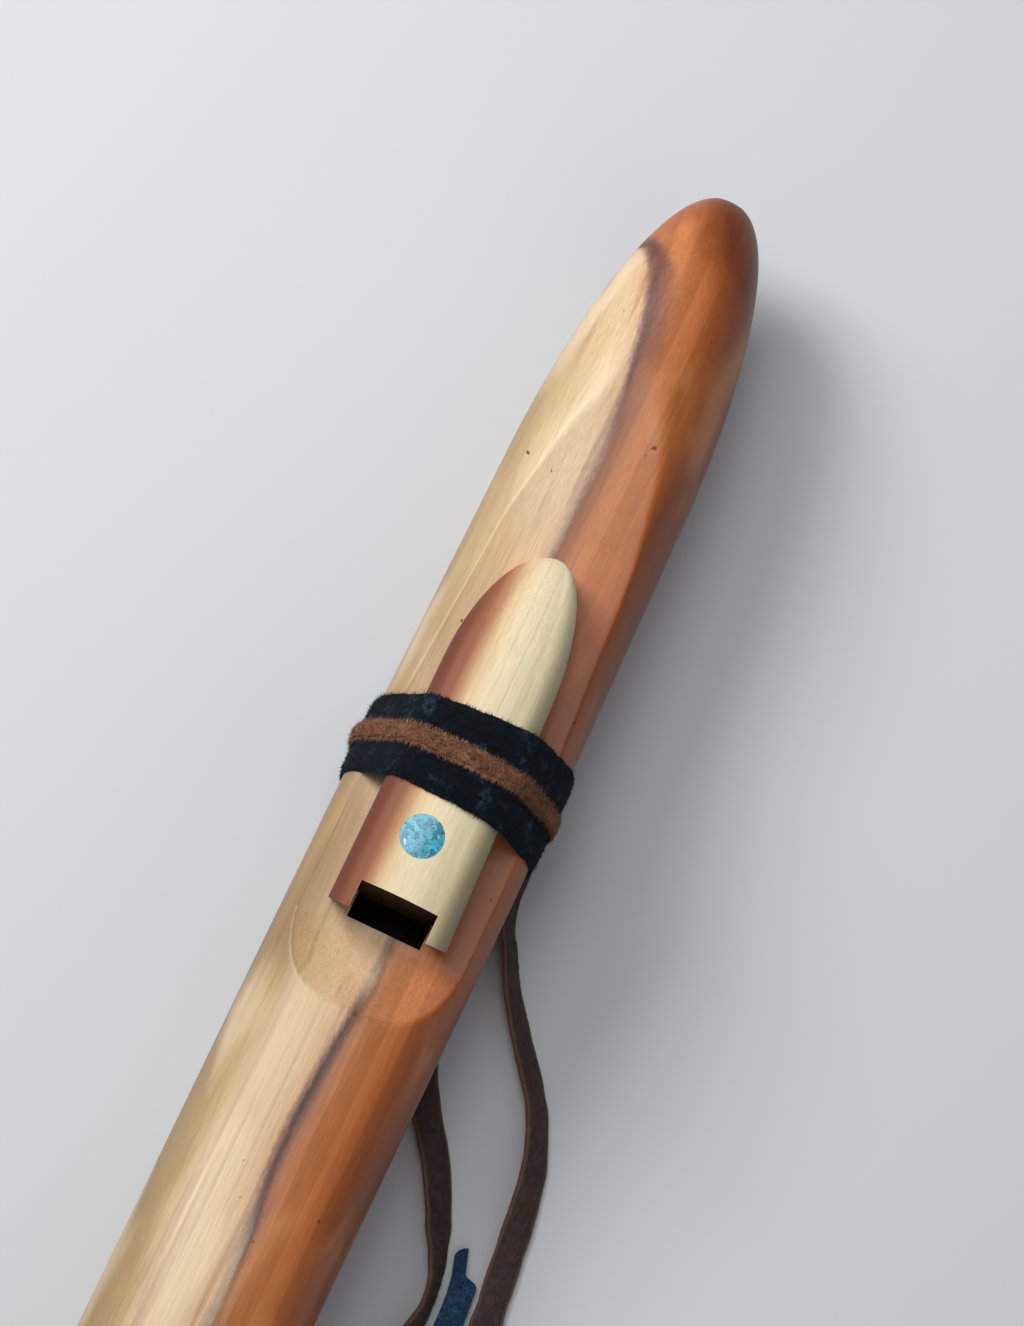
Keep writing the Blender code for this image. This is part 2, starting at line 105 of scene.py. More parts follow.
FINGER_HOLES = ((0.405, 8.0), (0.48, 9.0), (0.555, 8.5), (0.64, 8.5), (0.72, 9.5), (0.80, 9.0))
DIRECTION_HOLE = 7 * MM
DIRECTION_FROM_FOOT = 45 * MM

# Sizes that only the scene has
BLOCK_TAPER = 2.7 * MM
BLOCK_UNDERCUT = math.radians(11.0)
RIM_EASE = 0.8 * MM
NEST_EDGE = 0.45 * MM
INLAY_FIT = 0.03 * MM
TAIL_THICKNESS = 1.1 * MM
TIP_FINGER = 5.0 * MM
TIP_STEP = 6.2 * MM
FIBRE_WIDTH = 0.08 * MM
NAP_COUNT = 13000
SHARP_EDGE = 34

RADIUS = BORE / 2 + WALL
NEST = BORE / 2 + ROOF
AXIS = RADIUS + STRAP_THICKNESS + LACE_THICKNESS + 2 * GAP
KNOT_X = 17.3 * MM
KNOT_Z = 3.2 * MM
SOUND_HOLE = BLOCK_FRONT - NOTCH_DEPTH

# Routes of the tails, (x, y, turn) in millimetres and degrees from the middle of their knot
LACE_TAIL_RIGHT = (
    (1.0, -4.6, 58), (1.5, -10.5, 60), (2.8, -16.1, 62), (5.2, -20.3, 60),
    (8.3, -26.1, 55), (11.5, -30.7, 50), (15.1, -35.5, 46), (19.0, -40.4, 44),
    (22.2, -45.0, 44), (24.6, -50.2, 42), (26.4, -55.3, 36), (27.7, -62.2, 24),
    (28.6, -69.2, 12), (29.3, -75.1, 6), (30.0, -80.9, 4), (30.8, -87.0, 4),
    (32.4, -96.0, 4), (35.2, -106.0, 4), (38.6, -115.0, 4), (42.4, -124.0, 4),
)
LACE_TAIL_LEFT = (
    (-4.2, -4.6, -48), (-4.9, -12.0, -30), (-5.2, -20.0, -12), (-4.7, -29.0, -4),
    (-3.0, -38.0, 0), (-0.4, -46.0, 4), (2.9, -52.2, 10), (6.6, -57.4, 18),
    (9.6, -61.7, 26), (13.1, -68.2, 30), (15.2, -72.8, 40), (17.0, -77.0, 52),
    (18.3, -81.0, 64), (18.9, -85.0, 68), (18.8, -89.0, 64), (17.4, -96.0, 46),
    (15.2, -104.0, 28), (12.4, -112.0, 14), (9.0, -119.0, 8),
)
STRAP_TAIL_LONG = (
    (0.3, -4.6, 48), (1.2, -10.0, 34), (2.5, -18.0, 12), (4.0, -30.0, 0),
    (5.3, -45.0, 0), (6.8, -62.0, 0), (8.8, -80.0, 0), (12.5, -98.0, 0),
    (19.0, -114.0, 0), (29.0, -126.0, 0), (41.0, -131.5, 0), (51.0, -128.5, 0),
    (57.2, -120.0, 0), (58.9, -108.0, 0), (58.9, -96.0, 0), (58.8, -86.5, 0),
    (58.1, -79.0, 0), (56.4, -73.2, 0),
)
STRAP_TAIL_SHORT = (
    (0.2, 4.6, -40), (0.6, 11.0, -28), (1.6, 19.0, -14), (3.0, 28.0, -4), (3.8, 37.0, -4),
)


def y_at(distance):
    """Place along Y of a distance from the mouth end."""
    return LENGTH / 2 - distance


def smooth(t):
    """Smooth step of a share from 0 to 1."""
    t = min(max(t, 0.0), 1.0)
    return t * t * (3 - 2 * t)


def body_radius(distance):
    """Half width of the body at a distance from the mouth end."""
    nose = RADIUS - NOSE_TAPER
    if distance < NOSE_LENGTH:
        left = 1 - distance / NOSE_LENGTH
        return nose * (1 - left ** 1.9) ** (1 / 2.3)
    radius = nose + NOSE_TAPER * min((distance - NOSE_LENGTH) / SWELL, 1.0)
    flare_start = LENGTH - FOOT_LAND - FOOT_FLARE_LENGTH
    return radius + (AXIS - RADIUS) * smooth((distance - flare_start) / FOOT_FLARE_LENGTH)


def section_point(distance, angle, grow=0.0):
    """Point (x, height over the bore) on the body's section."""
    power = 2 + (SQUARENESS - 2) * smooth((distance - NOSE_LENGTH) / SWELL)
    c, s = math.cos(angle), math.sin(angle)
    span = (abs(c) ** power + abs(s) ** power) ** (1 / power)
    radius = (body_radius(distance) + grow) / span
    return radius * c, radius * s


def nest_floor(distance):
    """Height over the bore of the carved nest, high where nothing is carved."""
    front = BLOCK_FRONT + 1.0 * MM
    rear = BLOCK_FRONT - BLOCK_LENGTH - 5 * MM
    if distance < rear:
        return NEST + (rear - distance) * math.tan(RUN_OUT_SLOPE)
    if distance <= front:
        return NEST
    t = (distance - front) / RAMP_LENGTH
    climb = RADIUS - NEST
    if t <= 1:
        return NEST + climb * t * (1 - RAMP_RISE_BEND * (1 - t))
    return NEST + climb * (1 + (t - 1) * 1.5)


def soft_min(a, b, width):
    """Lower of two heights, with the edge between them rounded over a width."""
    h = min(max(0.5 + 0.5 * (b - a) / width, 0.0), 1.0)
    return b * (1 - h) + a * h - width * h * (1 - h) * 0.5


def colour(text):
    """Linear RGBA of an sRGB hex colour."""
    parts = [int(text[i:i + 2], 16) / 255 for i in (1, 3, 5)]
    return tuple(c / 12.92 if c <= 0.04045 else ((c + 0.055) / 1.055) ** 2.4 for c in parts) + (1.0,)


def add(tree, kind, links=None, **settings):
    """Add a node; settings are its attributes, or inputs where the key starts with in_."""
    made = tree.nodes.new(kind)
    for key, value in settings.items():
        if key.startswith("in_"):
            name = key[3:]
            socket = made.inputs[int(name)] if name.isdigit() else made.inputs[name.replace("_", " ")]
            socket.default_value = value
        else:
            setattr(made, key, value)
    for key, source in (links or {}).items():
        tree.links.new(source, made.inputs[key])
    return made


def ramp(tree, source, stops, blend='LINEAR'):
    """Colour ramp from (place, sRGB hex) stops."""
    made = add(tree, 'ShaderNodeValToRGB', {0: source})
    made.color_ramp.interpolation = blend
    points = made.color_ramp.elements
    while len(points) < len(stops):
        points.new(0.5)
    for point, (place, text) in zip(points, sorted(stops)):
        point.position = place
        point.color = colour(text)
    return made.outputs[0]


def grey(tree, source, low, high, dark=0.0, light=1.0):
    """Smooth step of a value from dark to light between low and high."""
    made = add(tree, 'ShaderNodeMapRange', {0: source}, interpolation_type='SMOOTHSTEP',
               in_1=low, in_2=high, in_3=dark, in_4=light)
    return made.outputs[0]


def math_of(tree, operation, a, b=None):
    """Sum, product or other arithmetic of sockets or numbers."""
    made = add(tree, 'ShaderNodeMath', operation=operation)
    for place, value in enumerate((a, b)):
        if value is None:
            continue
        if isinstance(value, (int, float)):
            made.inputs[place].default_value = value
        else:
            tree.links.new(value, made.inputs[place])
    return made.outputs[0]


def times(tree, *factors):
    """Product of sockets and numbers."""
    made = factors[0]
    for factor in factors[1:]:
        made = math_of(tree, 'MULTIPLY', made, factor)
    return made


def mixed(tree, share, a, b, blend='MIX'):
    """Mix of two colours; each is a socket or a hex text."""
    made = add(tree, 'ShaderNodeMix', data_type='RGBA', blend_type=blend)
    for place, value in ((6, a), (7, b)):
        if isinstance(value, str):
            made.inputs[place].default_value = colour(value)
        else:
            tree.links.new(value, made.inputs[place])
    if isinstance(share, (int, float)):
        made.inputs[0].default_value = share
    else:
        tree.links.new(share, made.inputs[0])
    return made.outputs[2]


def shaded(tree, base, shade):
    """Colour multiplied by a grey value."""
    value = add(tree, 'ShaderNodeCombineColor', {0: shade, 1: shade, 2: shade})
    return mixed(tree, 1.0, base, value.outputs[0], 'MULTIPLY')


def placed(tree):
    """X, Y and Z of the object's coordinates, in metres."""
    place = add(tree, 'ShaderNodeTexCoord').outputs['Object']
    return add(tree, 'ShaderNodeSeparateXYZ', {0: place}).outputs


def stretched(tree, size, offset=(0, 0, 0)):
    """Object coordinates divided by a pattern's real size along each axis, in metres."""
    place = add(tree, 'ShaderNodeTexCoord').outputs['Object']
    made = add(tree, 'ShaderNodeMapping', {0: place}, in_1=offset, in_3=tuple(1 / s for s in size))
    return made.outputs[0]


def clouds(tree, size, detail=2.0, rough=0.5, distortion=0.0, offset=(0, 0, 0)):
    """Noise whose grains have the given real size along each axis."""
    where = stretched(tree, size, offset)
    made = add(tree, 'ShaderNodeTexNoise', {'Vector': where}, in_Scale=1.0, in_Detail=detail,
               in_Roughness=rough, in_Distortion=distortion)
    return made.outputs[0]


def shader_of(name, roughness, specular=0.5):
    """New material with its node tree and Principled shader."""
    made = bpy.data.materials.new(name)
    made.use_nodes = True
    shader = made.node_tree.nodes["Principled BSDF"]
    shader.inputs['Roughness'].default_value = roughness
    shader.inputs['Specular IOR Level'].default_value = specular
    return made, made.node_tree, shader


def bumped(tree, shader, height, strength, distance):
    """Give a shader fine relief from a height."""
    bump = add(tree, 'ShaderNodeBump', {'Height': height}, in_Strength=strength, in_Distance=distance)
    tree.links.new(bump.outputs[0], shader.inputs['Normal'])


# How far the dark heart line wanders to the right of the bore, in millimetres, by the share of the length
HEART_LINE = (
    (0.00, 2.2), (0.30, 0.4), (0.50, 1.2), (0.57, 1.7), (0.60, 1.2), (0.635, 0.0), (0.665, 0.6),
    (0.70, 2.0), (0.73, 2.0), (0.80, 0.4), (0.86, -1.8), (0.895, -1.8), (0.925, -3.3),
    (0.950, -5.7), (0.966, -9.0), (0.976, -15.0), (1.00, -22.0),
)
LINE_SPAN = 50.0


def oiled_two_tone_wood():
    """Fruitwood sanded and oiled: pale sapwood, orange heartwood and a dark line where they meet, with
    painted shade darkening both sides of the body.
    """
    made, tree, shader = shader_of("oiled_two_tone_fruitwood", 0.42, 0.45)
    parts = placed(tree)
    share = math_of(tree, 'ADD', times(tree, parts[1], 1 / LENGTH), 0.5)
    line = add(tree, 'ShaderNodeFloatCurve', {'Value': share})
    curve = line.mapping.curves[0]
    while len(curve.points) < len(HEART_LINE):
        curve.points.new(0.5, 0.5)
    for point, (at, off) in zip(curve.points, HEART_LINE):
        point.location = (at, 0.5 + off / LINE_SPAN)
        point.handle_type = 'AUTO_CLAMPED'
    line.mapping.update()
    wander = times(tree, math_of(tree, 'SUBTRACT', line.outputs[0], 0.5), LINE_SPAN * MM)
    rough_line = math_of(tree, 'SUBTRACT', clouds(tree, (0.004, 0.022, 0.006), 2.0, 0.5), 0.5)
    fuzz = math_of(tree, 'SUBTRACT', clouds(tree, (0.0005, 0.0016, 0.0008), 2.0, 0.7, 0.0, (8, 1, 3)), 0.5)
    off = math_of(tree, 'SUBTRACT', parts[0], wander)
    off = math_of(tree, 'ADD', off, times(tree, rough_line, 1.3 * MM))
    off = math_of(tree, 'ADD', off, times(tree, fuzz, 1.3 * MM))
    across = math_of(tree, 'ADD', times(tree, off, 1 / 0.040), 0.5)
    # The ramp's darkening towards both sides of the body, tan on the left and dark brown on the right, is
    # painted shade; the sapwood, heart line and heartwood between are the wood's own colours
    base = ramp(tree, across, (
        (0.00, '#8C7048'), (0.12, '#A88A60'), (0.25, '#C6AA80'), (0.38, '#D2B48C'), (0.462, '#CAA27C'),
        (0.484, '#8A6252'), (0.500, '#46302F'), (0.516, '#53352F'), (0.545, '#A0694A'), (0.60, '#B87242'),
        (0.72, '#BA6A36'), (0.84, '#9A4E1C'), (1.00, '#6A2E06')))
    heart = grey(tree, off, 0.0, 1.2 * MM)
    sap = math_of(tree, 'SUBTRACT', 1.0, heart)
    # Cross figure: pale clouds in the sapwood, about 30 mm long and 10 mm wide
    pale = grey(tree, clouds(tree, (0.011, 0.032, 0.009), 1.0, 0.4), 0.42, 0.70)
    base = mixed(tree, times(tree, pale, sap, 0.50), base, '#E6CEAC')
    tan = grey(tree, clouds(tree, (0.006, 0.036, 0.007), 2.0, 0.5, 0.0, (3, 1, 0)), 0.50, 0.74)
    base = mixed(tree, times(tree, tan, sap, 0.42), base, '#BE9866')
    # Growth bands of the heartwood, about 4 mm wide, which run straight along the flute
    drift = times(tree, clouds(tree, (0.030, 0.20, 0.03), 1.0, 0.5, 0.0, (7, 0, 2)), 5.0)
    turn = math_of(tree, 'ADD', times(tree, parts[0], 2 * math.pi / (7.4 * MM)), drift)
    band = grey(tree, math_of(tree, 'SINE', turn), -0.15, 0.25)
    base = mixed(tree, times(tree, band, heart, 0.36), base, '#84400F')
    glow = grey(tree, clouds(tree, (0.012, 0.03, 0.02), 2.0, 0.5, 0.5, (1, 5, 0)), 0.50, 0.75)
    base = mixed(tree, times(tree, glow, heart, 0.40), base, '#E09A5C')
    # Towards the nose the heart line spreads into a soft brown band, up to 6 mm wide
    near = times(tree, grey(tree, off, -0.9 * MM, 0.4 * MM), grey(tree, off, 1.2 * MM, 5.5 * MM, 1.0, 0.0))
    nose = grey(tree, parts[1], y_at(0.110), y_at(0.035))
    base = mixed(tree, times(tree, near, nose, 0.62), base, '#7A4A3C')
    arch = grey(tree, parts[1], y_at(0.030), y_at(0.014))
    spread = times(tree, grey(tree, off, -2.4 * MM, -0.4 * MM), grey(tree, off, 1.0 * MM, 4.5 * MM, 1.0, 0.0))
    base = mixed(tree, times(tree, spread, arch, 0.80), base, '#5C2A18')
    # The nest's cut floor is paler and pinker than the oiled outside
    nest = add(tree, 'ShaderNodeAttribute', attribute_name="nest").outputs['Fac']
    base = mixed(tree, times(tree, nest, 0.12), base, '#DCA888')
    # Darker figure round a knot, to the left of the nest's ramp
    knot_x = times(tree, math_of(tree, 'ADD', parts[0], 14.5 * MM), 1 / (5.5 * MM))
    knot_y = times(tree, math_of(tree, 'SUBTRACT', parts[1], y_at(0.163)), 1 / (13 * MM))
    squares = math_of(tree, 'ADD', times(tree, knot_x, knot_x), times(tree, knot_y, knot_y))
    reach = math_of(tree, 'SQRT', squares)
    shade = times(tree, grey(tree, reach, 0.1, 1.2, 1.0, 0.0), grey(tree, nest, 0.0, 0.6, 0.6, 0.1))
    base = mixed(tree, shade, base, '#8C7042')
    thin = grey(tree, clouds(tree, (0.0016, 0.10, 0.005), 1.0, 0.5, 0.0, (2, 6, 1)), 0.60, 0.70)
    base = mixed(tree, times(tree, thin, sap, 0.28), base, '#8A6A5A')
    # Darker streaks beside the heart line and over the nose
    streak = grey(tree, clouds(tree, (0.0022, 0.09, 0.006), 2.0, 0.5, 0.2, (0, 2, 9)), 0.56, 0.74)
    base = mixed(tree, times(tree, streak, 0.34), base, '#8A5238')
    # Pores and fibres are 0.1 mm wide in life and drawn 0.3 mm wide, so that they show
    fibre = clouds(tree, (0.0003, 0.007, 0.0003), 3.0, 0.6)
    shade = grey(tree, fibre, 0.30, 0.70, 0.86, 1.06)
    base = shaded(tree, base, shade)
    tick = grey(tree, clouds(tree, (0.0011, 0.0020, 0.0011), 0.0, 0.5, 0.0, (4, 4, 4)), 0.875, 0.89)
    base = mixed(tree, times(tree, tick, 0.8), base, '#2A1810')
    tree.links.new(base, shader.inputs['Base Color'])
    tree.links.new(grey(tree, fibre, 0.3, 0.7, 0.36, 0.50), shader.inputs['Roughness'])
    bumped(tree, shader, fibre, 0.18, 0.00012)
    return made


def dark_bore_wood():
    """The same wood inside the bores, never sanded; its dark colour is painted shade."""
    made, tree, shader = shader_of("sealed_bore_wood", 0.6, 0.3)
    grain = clouds(tree, (0.0006, 0.02, 0.0006), 3.0, 0.6)
    tree.links.new(ramp(tree, grain, ((0.3, '#1E120B'), (0.7, '#442817'))), shader.inputs['Base Color'])
    bumped(tree, shader, grain, 0.3, 0.0002)
    return made


def sanded_cedar():
    """Aromatic cedar: creamy sapwood with fine growth lines and a red heart along one side, with painted
    shade darkening both sides.
    """
    made, tree, shader = shader_of("sanded_red_cedar", 0.55, 0.25)
    parts = placed(tree)
    wave = math_of(tree, 'SUBTRACT', clouds(tree, (0.006, 0.05, 0.01), 2.0, 0.5), 0.5)
    x = math_of(tree, 'ADD', parts[0], times(tree, wave, 1.1 * MM))
    across = math_of(tree, 'ADD', times(tree, x, 1 / 0.026), 0.5)
    # The ramp's darkening of the red heart towards the left edge and its olive grey towards the right side
    # are painted shade; the red heart and the creamy sapwood are the cedar's own colours
    base = ramp(tree, across, (
        (0.02, '#54281A'), (0.12, '#6E3A26'), (0.20, '#8A5236'), (0.27, '#B48460'), (0.33, '#D4B88E'),
        (0.42, '#E2D0AC'), (0.58, '#E2D4B2'), (0.74, '#CCC09A'), (0.86, '#A89E7C'), (0.96, '#847C60')))
    # Growth lines every 2 to 3 mm, 0.2 mm wide
    ring = math_of(tree, 'FRACT', times(tree, x, 1 / 0.0026))
    line = grey(tree, math_of(tree, 'ABSOLUTE', math_of(tree, 'SUBTRACT', ring, 0.5)), 0.0, 0.11, 1.0, 0.0)
    some = grey(tree, clouds(tree, (0.004, 0.09, 0.02), 1.0), 0.35, 0.65)
    some = times(tree, some, grey(tree, x, -5.0 * MM, -3.0 * MM))
    base = mixed(tree, times(tree, line, some, 0.50), base, '#C99A62')
    fibre = clouds(tree, (0.00028, 0.008, 0.0003), 3.0, 0.6)
    shade = grey(tree, fibre, 0.30, 0.70, 0.90, 1.05)
    base = shaded(tree, base, shade)
    tree.links.new(base, shader.inputs['Base Color'])
    bumped(tree, shader, fibre, 0.15, 0.0001)
    return made


def burned_notch_wood():
    """Notch walls, drawn near black as painted shade."""
    made, tree, shader = shader_of("burned_notch_wood", 0.7, 0.2)
    grain = clouds(tree, (0.0005, 0.003, 0.006), 3.0, 0.6)
    tree.links.new(ramp(tree, grain, ((0.3, '#150C08'), (0.7, '#3A2214'))), shader.inputs['Base Color'])
    return made


def crushed_turquoise():
    """Turquoise chips of about 1 mm set in clear resin and sanded flush."""
    made, tree, shader = shader_of("crushed_turquoise_in_resin", 0.22, 0.5)
    where = stretched(tree, (0.0010, 0.0010, 0.0010))
    warp = add(tree, 'ShaderNodeTexNoise', {'Vector': where}, in_Scale=1.6, in_Detail=2.0)
    bent = add(tree, 'ShaderNodeMix', {4: where, 5: warp.outputs['Color']}, data_type='VECTOR', in_0=0.45)
    chips = add(tree, 'ShaderNodeTexVoronoi', {'Vector': bent.outputs[1]}, in_Scale=1.9)
    tone = add(tree, 'ShaderNodeSeparateColor', {0: chips.outputs['Color']})
    base = ramp(tree, tone.outputs[0], (
        (0.15, '#1F7F9C'), (0.32, '#3AA3BC'), (0.5, '#4CB2C6'), (0.66, '#6CC4CF'), (0.78, '#A4DCDC'),
        (0.86, '#3398AE')), 'CONSTANT')
    edge = add(tree, 'ShaderNodeTexVoronoi', {'Vector': bent.outputs[1]}, feature='DISTANCE_TO_EDGE',
               in_Scale=1.9)
    vein = grey(tree, edge.outputs['Distance'], 0.0, 0.12, 0.9, 0.0)
    spots = grey(tree, clouds(tree, (0.0009, 0.0009, 0.0009), 2.0, 0.5, 0.0, (5, 0, 0)), 0.42, 0.60)
    base = mixed(tree, times(tree, vein, spots), base, '#4E4524')
    dark = grey(tree, clouds(tree, (0.0006, 0.0006, 0.0006), 1.0, 0.5, 0.0, (0, 9, 0)), 0.62, 0.68)
    base = mixed(tree, times(tree, dark, 0.8), base, '#10262A')
    tree.links.new(base, shader.inputs['Base Color'])
    shader.inputs['Coat Weight'].default_value = 0.2
    bumped(tree, shader, tone.outputs[1], 0.1, 0.0001)
    return made


def brushed_suede(name, dark, light, brushed, sheen):
    """Split leather with a nap of short fibres that catches light where it is brushed."""
    made, tree, shader = shader_of(name, 0.95, 0.15)
    # The nap's fibres are 0.05 mm thick and drawn 0.4 mm, so that they show
    nap = clouds(tree, (0.0004, 0.0004, 0.0004), 3.0, 0.7)
    clump = clouds(tree, (0.0016, 0.0013, 0.0016), 3.0, 0.75)
    patch = clouds(tree, (0.006, 0.005, 0.006), 4.0, 0.7, 0.4)
    tone = times(tree, math_of(tree, 'ADD', nap, clump), 0.5)
    base = ramp(tree, tone, ((0.40, dark), (0.60, light)))
    # Paler patches where the nap is brushed: painted sheen
    brushed_sheen = times(tree, grey(tree, patch, 0.52, 0.70), grey(tree, clump, 0.40, 0.62))
    base = mixed(tree, times(tree, brushed_sheen, 0.75), base, brushed)
    tree.links.new(base, shader.inputs['Base Color'])
    shader.inputs['Sheen Weight'].default_value = sheen
    shader.inputs['Sheen Roughness'].default_value = 0.6
    shader.inputs['Sheen Tint'].default_value = colour(brushed)
    bumped(tree, shader, math_of(tree, 'ADD', nap, clump), 1.0, 0.0010)
    return made


def creased_lace_leather():
    """Brown lace with its grain side up: dark, creased across, and paler along its cut edges."""
    made, tree, shader = shader_of("creased_brown_leather", 0.62, 0.35)
    edge = add(tree, 'ShaderNodeAttribute', attribute_name="edge").outputs['Fac']
    grain = clouds(tree, (0.0007, 0.0016, 0.0007), 4.0, 0.6, 0.8)
    patch = clouds(tree, (0.006, 0.009, 0.006), 2.0, 0.5)
    base = ramp(tree, grain, ((0.28, '#1E1412'), (0.5, '#34241F'), (0.75, '#4A342C')))
    base = mixed(tree, grey(tree, patch, 0.45, 0.7, 0.0, 0.5), base, '#3E302D')
    base = mixed(tree, grey(tree, edge, 0.74, 0.99, 0.0, 0.7), base, '#6E5040')
    tree.links.new(base, shader.inputs['Base Color'])
    bumped(tree, shader, grain, 0.55, 0.0004)
    return made


def paper_floor():
    """Plain pale grey sweep that the flute lies on."""
    made, _, shader = shader_of("pale_matt_paper", 0.9, 0.2)
    shader.inputs['Base Color'].default_value = colour('#C9CBCE')
    return made


def placed_mesh(name, bm):
    """Turn a bmesh into an object in the scene."""
    bmesh.ops.recalc_face_normals(bm, faces=bm.faces)
    mesh = bpy.data.meshes.new(name)
    bm.to_mesh(mesh)
    bm.free()
    made = bpy.data.objects.new(name, mesh)
    bpy.context.scene.collection.objects.link(made)
    return made


def place_mesh(name, bm, surfaces, body, slot, sharp=32):
    """Turn a bmesh into a smooth-shaded piece that rides on a body."""
    piece = placed_mesh(name, bm)
    mesh = piece.data
    for surface in surfaces:
        mesh.materials.append(surface)
    mesh.shade_smooth()
    if sharp:
        mesh.set_sharp_from_angle(angle=math.radians(sharp))
    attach(piece, body)
    return piece


def skin(bm, rows, closed=False):
    """Faces between rows of vertices, with the open ends capped."""
    pairs = list(zip(rows, rows[1:]))
    if closed:
        pairs.append((rows[-1], rows[0]))
    for low, high in pairs:
        for i in range(len(low)):
            j = (i + 1) % len(low)
            bm.faces.new((low[i], low[j], high[j], high[i]))
    if not closed:
        bm.faces.new(list(reversed(rows[0])))
        bm.faces.new(rows[-1])
    return bm


def loft(rings, closed=False):
    """Skin sections of equal point counts."""
    bm = bmesh.new()
    return skin(bm, [[bm.verts.new(point) for point in ring] for ring in rings], closed)


def cutter(bm):
    """Hidden solid for one cut."""
    return placed_mesh("cutter", bm)


def baked(piece):
    """Replace a piece's mesh by what its modifiers make of it."""
    shown = piece.evaluated_get(bpy.context.evaluated_depsgraph_get())
    mesh = bpy.data.meshes.new_from_object(shown)
    piece.modifiers.clear()
    piece.data = mesh
    return mesh


def carve(piece, cutters, inner=None):
    """Cut solids out of a piece for good; cut faces take the inner material's slot."""
    for tool in cutters:
        if inner:
            tool.data.materials.append(inner)
        change = piece.modifiers.new("cut", 'BOOLEAN')
        change.operation = 'DIFFERENCE'
        change.solver = 'EXACT'
        if inner:
            change.material_mode = 'TRANSFER'
        change.object = tool
    baked(piece)
    for tool in cutters:
        bpy.data.objects.remove(tool)


def rod_y(radius, stops, sides=64):
    """Round cutter along the bore from (y, radius share) stops."""
    rings = []
    for at, share in stops:
        turn = [2 * math.pi * (i + 0.5) / sides for i in range(sides)]
        rings.append([(radius * share * math.cos(a), at, AXIS + radius * share * math.sin(a)) for a in turn])
    return loft(rings)


def rod_z(x, y, stops, sides=48):
    """Upright round cutter from (height, radius) stops."""
    rings = []
    for at, radius in stops:
        turn = [2 * math.pi * (i + 0.5) / sides for i in range(sides)]
        rings.append([(x + radius * math.cos(a), y + radius * math.sin(a), at) for a in turn])
    return loft(rings)


def box(x, y, z):
    """Box between pairs of x, y and z."""
    return loft([[(x[0], at, z[0]), (x[1], at, z[0]), (x[1], at, z[1]), (x[0], at, z[1])] for at in y])


def body_stations():
    """Close stations at the nose and the nest's ramp, wide ones along the straight foot."""
    nose = [NOSE_LENGTH * (i / 46) ** 2 for i in range(1, 47)]
    head = [NOSE_LENGTH + (BLOCK_FRONT - NOSE_LENGTH) * i / 50 for i in range(1, 51)]
    ramp_end = BLOCK_FRONT + RAMP_LENGTH * 1.5
    ramp_part = [BLOCK_FRONT + (ramp_end - BLOCK_FRONT) * i / 44 for i in range(1, 45)]
    foot = [ramp_end + (LENGTH - FOOT_LAND - ramp_end) * i / 60 for i in range(1, 61)]
    rim = [LENGTH - 6 * MM, LENGTH - 2 * MM, LENGTH - 0.8 * MM, LENGTH - 0.25 * MM, LENGTH]
    return [NOSE_LENGTH * 0.0004] + nose + head + ramp_part + foot + rim


def rim_inset(distance):
    """How much the foot's edge is eased."""
    left = LENGTH - distance
    if left >= RIM_EASE:
        return 0.0
    return (RIM_EASE - math.sqrt(max(RIM_EASE ** 2 - (RIM_EASE - left) ** 2, 0.0))) * 0.7


def half_rings(side):
    """Sections of one half of the body, with the nest carved into the upper one."""
    count = 150 if side > 0 else 70
    seam = 0.02 * MM
    for distance in body_stations():
        ring = []
        for i in range(count + 1):
            angle = math.pi * i / count
            x, z = section_point(distance, angle, -rim_inset(distance))
            if side > 0:
                z = soft_min(z, nest_floor(distance), NEST_EDGE)
            ring.append((x * side, y_at(distance), AXIS + side * max(z, seam)))
        yield ring


def mark_nest(piece):
    """Store on each point of the upper half how far the nest was cut into the round section there."""
    mark = piece.data.attributes.new("nest", 'FLOAT', 'POINT')
    values = []
    for vert in piece.data.vertices:
        distance = LENGTH / 2 - vert.co.y
        power = 2 + (SQUARENESS - 2) * smooth((distance - NOSE_LENGTH) / SWELL)
        radius = max(body_radius(distance), 1 * MM)
        full = (abs(vert.co.x) / radius) ** power + (abs(vert.co.z - AXIS) / radius) ** power
        values.append(smooth((0.97 - full) / 0.05))
    mark.data.foreach_set("value", values)


def bore_cutters():
    """Slow air chamber, sound chamber with its eased foot, and breath hole."""
    rear = SOUND_HOLE - PLUG_TO_SOUND_HOLE
    slow = rod_y(BORE / 2, ((y_at(NOSE_WOOD), 0.45), (y_at(NOSE_WOOD + 0.2 * BORE), 0.85),
                            (y_at(NOSE_WOOD + 0.5 * BORE), 1.0), (y_at(rear), 1.0)))
    sound = rod_y(BORE / 2, ((y_at(rear - GAP), 1.0), (y_at(LENGTH - 0.6 * MM), 1.0),
                             (y_at(LENGTH), 1.06), (y_at(LENGTH) - 5 * MM, 1.6)))
    mouth = rod_y(BREATH_HOLE / 2, ((y_at(-5 * MM), 2.2), (y_at(0.3 * MM), 1.12), (y_at(1.6 * MM), 1.0),
                                    (y_at(NOSE_WOOD + 0.2 * BORE), 1.0)), sides=48)
    return [cutter(slow), cutter(sound), cutter(mouth)]


